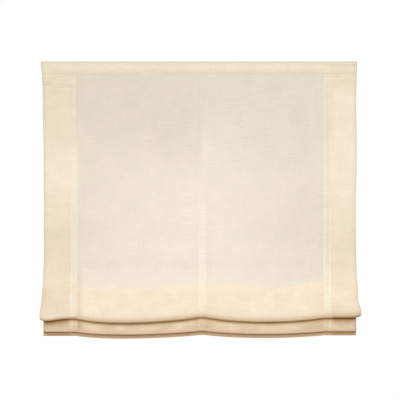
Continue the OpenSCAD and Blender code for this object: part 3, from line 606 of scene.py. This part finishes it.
def cloth_columns():
    """Stations across the cloth, closer at the stitched lines and the hems' edges."""
    near = [s + d for s in SEAMS for d in (-5, -2.5, 0, 2.5, 5)]
    near += [LEFT_IN - 0.2, LEFT_IN + 0.6, RIGHT_IN - 0.6, RIGHT_IN + 0.2]
    near += [side * (HALF_W - inset) for side in (-1, 1) for inset in (0, 0.8, 2.4, 4.2, 7)]
    far = [x for x in np.arange(-HALF_W, HALF_W, COLUMN_STEP) if min(abs(x - n) for n in near) > 3]
    return np.array(sorted(near + far))


def cloth_runs():
    """Stations down the cloth, closer where it turns round the folds."""
    stops = [0]
    while stops[-1] < FLAT_L:
        here = stops[-1]
        turn = np.interp(here, hang_run, np.hypot(*np.gradient(hang_step[:, :2], hang_run, axis=0).T))
        stops.append(here + np.clip(0.28 / (turn + 0.03), *RUN_STEPS))
    stops[-1] = FLAT_L
    edges = [0.8, 2.4, 4, HEADER_H - 0.5, HEADER_H + 0.5, FLAT_L - HEM_H - 0.5, FLAT_L - HEM_H + 0.5]
    edges += [row + d for row in (HEADER_ROW, CORNER_ROW) for d in (-3.6, -1.6, 0)]
    kept = [s for s in stops if min(abs(s - e) for e in edges) > 0.4]
    return np.array(sorted(kept + edges))


linen = sheet_piece(
    "linen_cloth",
    cloth_columns(),
    cloth_runs(),
    lambda x, run: CLOTH_T / 2,
    lambda x, run: -CLOTH_T / 2 - hem_lift(x, run),
    {  # each mark, with its share on the back
        "side": (side_mark, 1), "header": (header_mark, 1), "foot": (foot_mark, 1), "edge": (edge_shade_mark, 1),
        "seam": (seam_mark, 1), "groove": (groove_shade_mark, 1), "light": (light_mark, 1),
        "green": (green_mark, 1), "backed": (backed_mark, 0), "lap": (lap_mark, 0), "deep": (deep_shade_mark, 0),
        "roll": (roll_shade_mark, 0), "crease": (crease_mark, 0), "glow": (glow_mark, 0), "tuck_shade": (tuck_shade_mark, 0),
        "painted_highlight": (painted_highlight_mark, 0), "rumple_shade": (rumple_shade_mark, 0),
    },
)


def colour(red, green, blue):
    """A display colour, 0 to 255, as the linear one that a shader takes."""
    parts = [c / 255 for c in (red, green, blue)]
    return tuple(c / 12.92 if c <= 0.04045 else ((c + 0.055) / 1.055) ** 2.4 for c in parts) + (1.0,)


def mixed(tree, share, first, second):
    """The colour between two, by a share."""
    node = add_node(tree, "Mix", data_type="RGBA")
    for socket, value in ((node.inputs[0], share), (node.inputs[6], first), (node.inputs[7], second)):
        if isinstance(value, bpy.types.NodeSocket):
            tree.links.new(value, socket)
        else:
            socket.default_value = value
    return node.outputs[2]


def maths(tree, operation, first, second=0.0):
    return add_node(tree, "Math", {0: first, 1: second}, operation=operation).outputs[0]


def streaks(tree, place, scale, detail, low, high):
    """Noise drawn out by a scale for each direction, as a multiplier from low to high."""
    turned = add_node(tree, "Mapping", {"Vector": place, "Scale": scale})
    noise = add_node(tree, "TexNoise", {"Vector": turned.outputs[0], "Scale": 1.0, "Detail": detail})
    span = {"From Min": 0.3, "From Max": 0.7, "To Min": low, "To Max": high}
    return add_node(tree, "MapRange", {"Value": noise.outputs["Fac"], **span}).outputs["Result"]


def mark(tree, name, amount):
    """How strongly a mark of the piece tints it."""
    return maths(tree, "MULTIPLY", add_node(tree, "Attribute", attribute_name=name).outputs["Fac"], amount)


def tone(tree, shader, tint, level):
    """Colours a shader by a tint times an uneven level."""
    if not isinstance(tint, bpy.types.NodeSocket):
        tint = tint[:3]
    shaded = add_node(tree, "VectorMath", {0: tint, 1: level}, operation="MULTIPLY")
    tree.links.new(shaded.outputs[0], shader.inputs["Base Color"])


def emboss(tree, shader, height, strength, distance):
    """Gives a shader a fine relief."""
    relief = add_node(tree, "Bump", {"Height": height, "Strength": strength, "Distance": distance})
    tree.links.new(relief.outputs["Normal"], shader.inputs["Normal"])


SINGLE_PLY = colour(229, 218, 200)
SINGLE_PLY_LIT = colour(243, 232, 214)
SINGLE_PLY_GREEN = colour(223, 224, 202)
DOUBLE_PLY = colour(231, 215, 190)
DOUBLE_PLY_LIT = colour(248, 232, 209)
HEADER_PLY = colour(237, 222, 196)
LAPPED_PLY = colour(246, 230, 207)
# Paler where the tapes show through, and the colour of the painted highlights
BACKED_PLY_AND_HIGHLIGHT = colour(248, 238, 219)
SEAM_TINT = colour(253, 245, 228)
# Painted shade at the cloth's outer edges
EDGE_SHADE_TINT = colour(204, 190, 169)
# Painted shade on the folded layers behind the front fold
DEEP_SHADE_PLY = colour(236, 213, 183)
# Painted shade on the undersides of the rolled folds
ROLL_SHADE_TINT = colour(222, 196, 158)
CREASE_TINT = colour(154, 98, 34)
# Painted shade in stitched grooves and fine creases
GROOVE_SHADE_TINT = colour(180, 152, 114)
# Painted shade in the hollows beside the tapes
TUCK_SHADE_TINT = colour(178, 146, 108)
# Warm blotches over the lapped layers
LAP_BLOTCH_TINT = colour(232, 204, 160)
GLOW_TINT = colour(230, 180, 112)

linen_finish, tree, shader = new_finish("linen", 0.92)
flat_place = add_node(tree, "TexCoord").outputs["UV"]
sheer_tint = mixed(tree, mark(tree, "light", 1.0), SINGLE_PLY, SINGLE_PLY_LIT)
border_tint = mixed(tree, mark(tree, "light", 1.0), DOUBLE_PLY, DOUBLE_PLY_LIT)
for name, share, tint in (
    ("green", 0.2, SINGLE_PLY_GREEN), ("header", 0.9, HEADER_PLY), ("lap", 0.9, LAPPED_PLY),
    ("foot", 0.9, DOUBLE_PLY),
):
    sheer_tint = mixed(tree, mark(tree, name, share), sheer_tint, tint)
body_tint = mixed(tree, mark(tree, "side", 0.95), sheer_tint, border_tint)
# Paler where tapes and seams show through; painted shade in the folded layers, grooves and hollows; painted
# highlight where the cloth stands proud
for name, share, tint in (
    ("deep", 0.9, DEEP_SHADE_PLY), ("backed", 0.3, BACKED_PLY_AND_HIGHLIGHT), ("seam", 0.32, SEAM_TINT),
    ("painted_highlight", 0.5, BACKED_PLY_AND_HIGHLIGHT), ("groove", 0.2, GROOVE_SHADE_TINT), ("tuck_shade", 0.5, TUCK_SHADE_TINT),
):
    body_tint = mixed(tree, mark(tree, name, share), body_tint, tint)
# Uneven patches: warm blotches over the lapped layers, and painted shade in streaks over the creased borders
# and in patches over the folded layers
for name, scale, detail, low, high, tint in (
    ("lap", (34, 34, 1), 3, 0, 0.26, LAP_BLOTCH_TINT),
    ("rumple_shade", (9, 170, 1), 2, -0.17, 0.24, GROOVE_SHADE_TINT),
    ("deep", (13, 20, 1), 3, -0.08, 0.38, TUCK_SHADE_TINT),
):
    patches = streaks(tree, flat_place, scale, detail, low, high)
    body_tint = mixed(tree, maths(tree, "MULTIPLY", mark(tree, name, 1.0), patches), body_tint, tint)
# Painted shade under and along the rolled folds and at the cloth's edges, warmed by the painted light between
# the folds
for name, share, tint in (
    ("roll", 0.9, ROLL_SHADE_TINT), ("glow", 0.85, GLOW_TINT),
    ("crease", 0.95, CREASE_TINT), ("edge", 0.8, EDGE_SHADE_TINT),
):
    body_tint = mixed(tree, mark(tree, name, share), body_tint, tint)
weft = streaks(tree, flat_place, (16, 430, 1), 4, 0.97, 1.03)
warp = streaks(tree, flat_place, (470, 13, 1), 4, 0.975, 1.025)
slub = streaks(tree, flat_place, (38, 260, 1), 1, 0.98, 1.02)
cloud = streaks(tree, flat_place, (14, 14, 14), 4, 0.98, 1.02)
blotches = streaks(tree, flat_place, (17, 30, 1), 3, -0.026, 0.026)
doubled = maths(tree, "ADD", mark(tree, "side", 1.0), mark(tree, "lap", 0.6))
cloud = maths(tree, "ADD", cloud, maths(tree, "MULTIPLY", doubled, blotches))
threads = maths(tree, "MULTIPLY", weft, warp)
threads = maths(tree, "MULTIPLY", threads, maths(tree, "MULTIPLY", slub, cloud))
tone(tree, shader, body_tint, threads)
ribs = [
    add_node(
        tree, "TexWave", {"Vector": flat_place, "Scale": scale, "Distortion": 1.2, "Detail Scale": 30.0},
        bands_direction=way,
    ).outputs["Fac"]
    for way, scale in (("Y", 420.0), ("X", 440.0))
]
weave = maths(tree, "MULTIPLY", maths(tree, "ADD", *ribs), 0.25)
emboss(tree, shader, maths(tree, "ADD", weave, maths(tree, "MULTIPLY", threads, 1.5)), 0.35, 0.0004)
shader.inputs["Sheen Weight"].default_value = 0.08
shader.inputs["Sheen Roughness"].default_value = 0.5
shader.inputs["Specular IOR Level"].default_value = 0.12
linen.data.materials.append(linen_finish)
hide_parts("cloth")
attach(linen, "blind")


# Stitching: rows of lockstitch in linen thread, along both edges of the three ring tapes, the header with
# its right corner, and the hems. Each stitch is a short arc of thread with both ends in the cloth.
THREAD_R, THREAD_SIDES = 0.24, 4
STITCH_L, STITCH_PITCH = 3.3, 4.3
STITCH_ARC = np.array([-0.6, 0.75, -0.6])


def wrapped(k):
    """Faces of a closed tube, whose points lie in rings, one ring to each row of numbers k."""
    ahead = np.roll(k, -1, 1)
    walls = np.stack([k[:-1], ahead[:-1], ahead[1:], k[1:]], -1).reshape(-1, 4)
    return walls.tolist() + [k[0, ::-1].tolist(), k[-1].tolist()]


def stitches(x0, run0, x1, run1, lift):
    """One row of stitches from one flat place of the cloth to another, on the face at lift."""
    side = 1 if lift > 0 else -1
    length = math.hypot(x1 - x0, run1 - run0)
    starts = np.arange(STITCH_PITCH / 2, length - STITCH_L, STITCH_PITCH)
    along = (starts[:, None] + STITCH_L * np.array([0, 0.5, 1])) / length
    x, run = x0 + (x1 - x0) * along, run0 + (run1 - run0) * along
    arc = STITCH_ARC * THREAD_R * side
    core = on_cloth(x, run, lift + arc)
    up = on_cloth(x, run, lift + arc + side) - core
    up /= np.linalg.norm(up, axis=-1, keepdims=True)
    ahead = core[:, 2:] - core[:, :1]
    ahead = np.broadcast_to(ahead / np.linalg.norm(ahead, axis=-1, keepdims=True), core.shape)
    across = np.cross(ahead, up)
    turn = (np.arange(THREAD_SIDES) + 0.5) * 2 * np.pi / THREAD_SIDES
    ring = across[:, :, None] * np.cos(turn)[:, None] + up[:, :, None] * np.sin(turn)[:, None]
    points = core[:, :, None] + ring * THREAD_R * MM
    k = np.arange(points[0, ..., 0].size).reshape(-1, THREAD_SIDES)
    faces = (np.arange(len(starts))[:, None, None] * k.size + np.array(wrapped(k))).reshape(-1, 4)
    in_fold = np.maximum(roll_shade_mark(x, run), glow_mark(x, run)) * 0.5
    shade = np.maximum(crease_mark(x, run), in_fold) * (lift > 0)
    return points.reshape(-1, 3), faces, np.repeat(shade.ravel(), THREAD_SIDES)


def faced_out(piece):
    """Turns the faces of the selected piece outwards."""
    bpy.ops.object.mode_set(mode="EDIT")
    bpy.ops.mesh.select_all(action="SELECT")
    bpy.ops.mesh.normals_make_consistent(inside=False)
    bpy.ops.object.mode_set(mode="OBJECT")
    return piece


def thread_piece(name, rows):
    """All the rows of stitches of one job, as one piece."""
    points, faces, shades, count = [], [], [], 0
    for row in rows:
        row_points, row_faces, row_shade = stitches(*row)
        points.append(row_points)
        faces.append(row_faces + count)
        shades.append(row_shade)
        count += len(row_points)
    mesh = bpy.data.meshes.new(name)
    mesh.from_pydata(np.concatenate(points).tolist(), [], np.concatenate(faces).tolist())
    layer = mesh.attributes.new("shade", "FLOAT", "POINT")
    layer.data.foreach_set("value", np.concatenate(shades).astype(np.float32))
    piece = faced_out(placed(name, mesh))
    bpy.ops.object.shade_smooth()
    return piece


THREAD_TINT = colour(232, 217, 190)
thread_finish, tree, shader = new_finish("linen_thread", 0.85)
place = add_node(tree, "TexCoord").outputs["Object"]
ply = streaks(tree, place, (900, 900, 900), 2, 0.9, 1.06)
tone(tree, shader, mixed(tree, mark(tree, "shade", 0.95), THREAD_TINT, CREASE_TINT), ply)
emboss(tree, shader, ply, 0.3, 0.0002)

TAPE_T, TAPE_GAP = 0.6, 0.05
FACE = CLOTH_T / 2
HEM_FACE = -CLOTH_T / 2 - HEM_T
TAPE_FACE = HEM_FACE - TAPE_T - TAPE_GAP
foot_row = FLAT_L - HEM_H + 2.5
seam_rows = [(x, HEADER_H + 2, x, LOW_RING_RUN - 3, face) for x in SEAMS for face in (FACE, TAPE_FACE)]
hem_rows = [(x, LOW_RING_RUN + 2, x, FLAT_L - HEM_H - 2) for x in (SEAMS[1], SEAMS[4])]
hem_rows += [(4 - HALF_W, run, HALF_W - 4, run) for run in (HEADER_ROW, foot_row)]
hem_rows += [(RIGHT_IN + 2, CORNER_ROW, HALF_W - 4, CORNER_ROW)]
hem_rows = [(*row, face) for row in hem_rows for face in (FACE, HEM_FACE)]
for name, rows in (("tape_stitching", seam_rows), ("hem_stitching", hem_rows)):
    stitching = thread_piece(name, rows)
    stitching.data.materials.append(thread_finish)
    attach(stitching, "blind")


# Ring tapes: three woven cotton tapes sewn down the back of the cloth, from under the header to the
# lowest ring. They are folded with the cloth, and carry the rings at even steps.
SIDES = ("left", "centre", "right")
tape_finish, tree, shader = new_finish("cotton_tape", 0.88)
flat_place = add_node(tree, "TexCoord").outputs["UV"]
twill = add_node(
    tree, "TexWave", {"Vector": flat_place, "Scale": 190.0, "Distortion": 0.6, "Detail Scale": 20.0},
    bands_direction="DIAGONAL",
).outputs["Fac"]
yarn = streaks(tree, flat_place, (500, 40, 1), 2, 0.94, 1.04)
tone(tree, shader, mixed(tree, twill, colour(232, 224, 208), colour(247, 241, 228)), yarn)
emboss(tree, shader, twill, 0.4, 0.0003)
TAPE_TOP, TAPE_ROUND = HEADER_H + 1, 0.12
tape_runs = [r for r in cloth_runs() if TAPE_TOP + 0.5 < r < LOW_RING_RUN - 0.3]
tape_runs = np.array([TAPE_TOP] + tape_runs + [LOW_RING_RUN])
for side, middle in zip(SIDES, LIFTS):
    hem_under = 0 if side == "centre" else HEM_T
    tape = sheet_piece(
        "woven_tape_" + side,
        middle + TAPE_W * np.array([-0.5, -0.46, -0.3, -0.1, 0.1, 0.3, 0.46, 0.5]),
        tape_runs,
        lambda x, run: -CLOTH_T / 2 - TAPE_GAP - hem_under,
        lambda x, run: TAPE_FACE + TAPE_ROUND * (np.abs(x - middle) > 0.48 * TAPE_W),
        {},
    )
    tape.data.materials.append(tape_finish)
    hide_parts("ring_tape_" + side)
    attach(tape, "blind")


# Rings: small moulded rings in milky plastic, one at each step of the tape.
# Four turns of thread bind each ring's wire to the tape behind it.
def dress(finish, *names):
    """Gives CAD nodes a finish."""
    for name in names:
        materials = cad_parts[name].data.materials
        materials.clear()
        materials.append(finish)


def moulded(name, tint, roughness, coarse):
    """Moulded plastic: slightly uneven in tone and gloss, with the mould's fine texture."""
    finish, tree, shader = new_finish(name, roughness)
    place = add_node(tree, "TexCoord").outputs["Object"]
    flow = streaks(tree, place, (60, 60, 60), 3, 0.96, 1.03)
    tone(tree, shader, tint, flow)
    grain = streaks(tree, place, (coarse, coarse, coarse), 2, 0, 1)
    gloss = maths(tree, "ADD", maths(tree, "MULTIPLY", grain, 0.16), roughness - 0.08)
    tree.links.new(gloss, shader.inputs["Roughness"])
    emboss(tree, shader, grain, 0.12, 0.0002)
    return finish


ring_finish = moulded("milky_plastic", colour(240, 239, 232), 0.3, 700)
ring_finish.node_tree.nodes["Principled BSDF"].inputs["Coat Weight"].default_value = 0.3
dress(ring_finish, *("rings_" + side for side in SIDES))
CORD_D = 28.5
RING_R = 5.75
WIRE_R = 1.1
TIE_R = WIRE_R + 0.28
TIE_TURNS = (-0.75, -0.25, 0.25, 0.75)
ties = []
for middle in LIFTS:
    for height in RING_Z:
        for turn in TIE_TURNS:
            bpy.ops.mesh.primitive_torus_add(
                major_segments=14, minor_segments=5, major_radius=TIE_R * MM, minor_radius=THREAD_R * MM,
                location=((middle + turn) * MM, -(CORD_D + RING_R) * MM, (height + 0.3 * turn) * MM),
                rotation=(0, math.radians(90), math.radians(7)),
            )
            ties.append(bpy.context.object)
bpy.ops.object.select_all(action="DESELECT")
for tie in ties:
    tie.select_set(True)
bpy.context.view_layer.objects.active = ties[0]
bpy.ops.object.join()
ring_ties = bpy.context.object
bpy.ops.object.transform_apply(location=True, rotation=True, scale=True)
bpy.ops.object.shade_smooth()
ring_ties.name = "ring_ties"
ring_ties.data.materials.append(thread_finish)
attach(ring_ties, "blind")


# Lift cords: three-strand polyester cord that hangs from each drum through the rings.
# It ends in a knot that draws a turned bead up against the lowest ring.
CORD_R = 0.6
CORD_TOP, STOP_FOOT = -1.8, -718.2
STRAND_R, STRANDS, LAY = 0.3, 3, 5.0
KNOT_REACH, KNOT_DROP, KNOT_RISE = 0.372, 1.75, 0.85
END_STEPS, END_SWAY = 9, 0.25


def tube(points, radius, sides):
    """A round tube along points, closed at both ends, as points and faces."""
    points = np.asarray(points, float)
    ahead = np.gradient(points, axis=0)
    ahead /= np.linalg.norm(ahead, axis=1, keepdims=True)
    guide = np.where(np.abs(ahead[:, :1]) < 0.8, [[1.0, 0, 0]], [[0, 1.0, 0]])
    across = np.cross(ahead, guide)
    across /= np.linalg.norm(across, axis=1, keepdims=True)
    up = np.cross(ahead, across)
    turn = np.arange(sides) * 2 * np.pi / sides
    ring = across[:, None] * np.cos(turn)[:, None] + up[:, None] * np.sin(turn)[:, None]
    faces = wrapped(np.arange(len(points) * sides).reshape(-1, sides))
    return (points[:, None] + ring * radius).reshape(-1, 3), faces


def tube_piece(name, tubes):
    """All the tubes of one cord, as one piece."""
    points, faces = [], []
    for tube_points, tube_faces in tubes:
        faces += [[i + len(points) for i in face] for face in tube_faces]
        points += (tube_points * MM).tolist()
    mesh = bpy.data.meshes.new(name)
    mesh.from_pydata(points, [], faces)
    piece = faced_out(placed(name, mesh))
    bpy.ops.object.shade_smooth_by_angle(angle=math.radians(50))
    return piece


cord_finish, tree, shader = new_finish("polyester_cord", 0.6)
place = add_node(tree, "TexCoord").outputs["Object"]
fibre = streaks(tree, place, (2400, 2400, 300), 2, 0.9, 1.04)
tone(tree, shader, colour(244, 242, 234), fibre)
emboss(tree, shader, fibre, 0.2, 0.0001)
for side, middle in zip(SIDES, LIFTS):
    height = np.arange(CORD_TOP, STOP_FOOT, -LAY / 8)
    reach = CORD_R - STRAND_R
    strands = []
    for strand in range(STRANDS):
        angle = 2 * np.pi * (height / LAY + strand / STRANDS)
        path = [middle + reach * np.cos(angle), -CORD_D + reach * np.sin(angle), height]
        strands.append(tube(np.stack(path, -1), STRAND_R, 5))
    t = np.linspace(0, 2 * np.pi * 0.97, 46)
    knot = [
        middle + KNOT_REACH * (np.sin(t) + 2 * np.sin(2 * t)),
        -CORD_D + KNOT_REACH * (np.cos(t) - 2 * np.cos(2 * t)),
        STOP_FOOT - KNOT_DROP - KNOT_RISE * np.sin(3 * t),
    ]
    end = [
        middle + END_SWAY * np.sin(np.linspace(0, 2.2, END_STEPS)),
        np.full(END_STEPS, -CORD_D),
        np.linspace(STOP_FOOT - 1.5, STOP_FOOT - 11, END_STEPS),
    ]
    strands += [tube(np.stack(knot, -1), CORD_R * 0.8, 7), tube(np.stack(end, -1), CORD_R * 0.85, 7)]
    cord = tube_piece("twisted_cord_" + side, strands)
    cord.data.materials.append(cord_finish)
    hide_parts("lift_cord_" + side)
    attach(cord, "blind")
dress(cord_finish, *("cord_winding_" + side for side in SIDES))
dress(moulded("turned_bead", colour(246, 245, 240), 0.35, 900), *("cord_stop_" + side for side in SIDES))


# Touch tapes: the hook tape is stuck in the rail's front groove, and the loop tape is sewn behind
# the header. Each is a woven strip with a plain edge round its field.
STRIP_BEVEL, STRIP_EDGE, STRIP_SINK = 0.25, 1.4, 0.18


def touch_tape(name, node, tint, field_scale):
    """A strip the size of a CAD node, with its field sunk inside a plain edge."""
    low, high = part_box(node)
    bpy.ops.object.select_all(action="DESELECT")
    bpy.ops.mesh.primitive_cube_add(size=1, location=(low + high) / 2)
    strip = bpy.context.object
    strip.name = name
    strip.scale = high - low
    bpy.ops.object.transform_apply(location=True, rotation=True, scale=True)
    bpy.ops.object.mode_set(mode="EDIT")
    bpy.ops.mesh.select_mode(type="FACE")
    bpy.ops.mesh.select_all(action="SELECT")
    bpy.ops.mesh.bevel(offset=STRIP_BEVEL * MM, segments=2, affect="EDGES")
    bpy.ops.object.mode_set(mode="OBJECT")
    for face in strip.data.polygons:
        face.select = abs(face.normal.y) > 0.99 and face.area > 0.01
    bpy.ops.object.mode_set(mode="EDIT")
    bpy.ops.mesh.inset(thickness=STRIP_EDGE * MM, depth=-STRIP_SINK * MM)
    bpy.ops.object.mode_set(mode="OBJECT")
    bpy.ops.object.shade_smooth_by_angle(angle=math.radians(40))
    finish, tree, shader = new_finish(name + "_nylon", 0.7)
    place = add_node(tree, "TexCoord").outputs["Object"]
    pile = streaks(tree, place, (field_scale, field_scale, field_scale), 3, 0.82, 1.05)
    tone(tree, shader, tint, pile)
    emboss(tree, shader, pile, 0.8, 0.0006)
    strip.data.materials.append(finish)
    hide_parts(node)
    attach(strip, "blind")


touch_tape("hook_strip", "hook_tape", colour(236, 236, 232), 620)
touch_tape("loop_strip", "loop_tape", colour(243, 238, 226), 1100)


# Head rail: an aluminium extrusion, powder-coated white, open below and with a bracket channel on top.
# The die leaves faint lines along it, under the coating's slight orange peel.
rail_finish, tree, shader = new_finish("powder_coat", 0.42)
place = add_node(tree, "TexCoord").outputs["Object"]
die_lines = streaks(tree, place, (3, 700, 700), 2, 0.975, 1.02)
tone(tree, shader, colour(236, 235, 231), die_lines)
peel = streaks(tree, place, (520, 520, 520), 2, 0, 1)
gloss = maths(tree, "ADD", maths(tree, "MULTIPLY", peel, 0.14), 0.36)
tree.links.new(gloss, shader.inputs["Roughness"])
emboss(tree, shader, peel, 0.1, 0.0002)
dress(rail_finish, "head_rail")


# Winding shaft: a drawn square bar that turns a moulded cord drum over each lift point.
# The drums sit in open carriers in the rail, and the bar's idle end runs in a bush in the end cap.
def plated(name, tint, roughness, grain_scale, low, high):
    """Plated or drawn metal, with its grain in tone and gloss."""
    finish, tree, shader = new_finish(name, roughness, 1.0)
    place = add_node(tree, "TexCoord").outputs["Object"]
    grain = streaks(tree, place, grain_scale, 3, low, high)
    tone(tree, shader, tint, grain)
    span = {"From Min": low, "From Max": high, "To Min": roughness + 0.12, "To Max": roughness - 0.06}
    dull = add_node(tree, "MapRange", {"Value": grain, **span})
    tree.links.new(dull.outputs["Result"], shader.inputs["Roughness"])
    emboss(tree, shader, grain, 0.12, 0.0002)
    return finish


dress(plated("drawn_bar", colour(196, 197, 199), 0.32, (6, 1400, 1400), 0.85, 1.06), "square_shaft")
white_plastic = moulded("white_moulding", colour(239, 238, 233), 0.45, 1500)
grey_plastic = moulded("grey_moulding", colour(206, 206, 203), 0.5, 1300)
dark_plastic = moulded("dark_moulding", colour(92, 94, 97), 0.48, 1300)
dress(white_plastic, "shaft_bush", *("drum_" + side for side in SIDES))
dress(grey_plastic, "idle_end_cap", *("drum_carrier_" + side for side in SIDES))


# Chain drive: a moulded housing on the rail's right end, closed by a screwed cover.
# Inside, a pocketed wheel turns the shaft through a core that a coiled spring brakes.
dress(dark_plastic, "drive_core")
dress(white_plastic, "chain_wheel", "chain_housing", "chain_cover")
dress(plated("spring_wire", colour(150, 152, 156), 0.35, (900, 900, 900), 0.85, 1.05), "brake_spring")
dress(plated("screw_zinc", colour(190, 191, 194), 0.3, (800, 800, 800), 0.85, 1.06), "cover_screws")


# Brackets: two bent steel angles on the wall, zinc-plated, each with a riveted lock lever.
# The lever's tee turns crosswise in the rail's channel and holds the rail up.
zinc = plated("bracket_zinc", colour(170, 172, 176), 0.52, (140, 140, 140), 0.84, 1.06)
dress(zinc, "bracket_left", "bracket_right")
lever_steel = plated("lever_steel", colour(140, 142, 146), 0.45, (300, 300, 300), 0.84, 1.06)
dress(lever_steel, "lock_lever_left", "lock_lever_right")
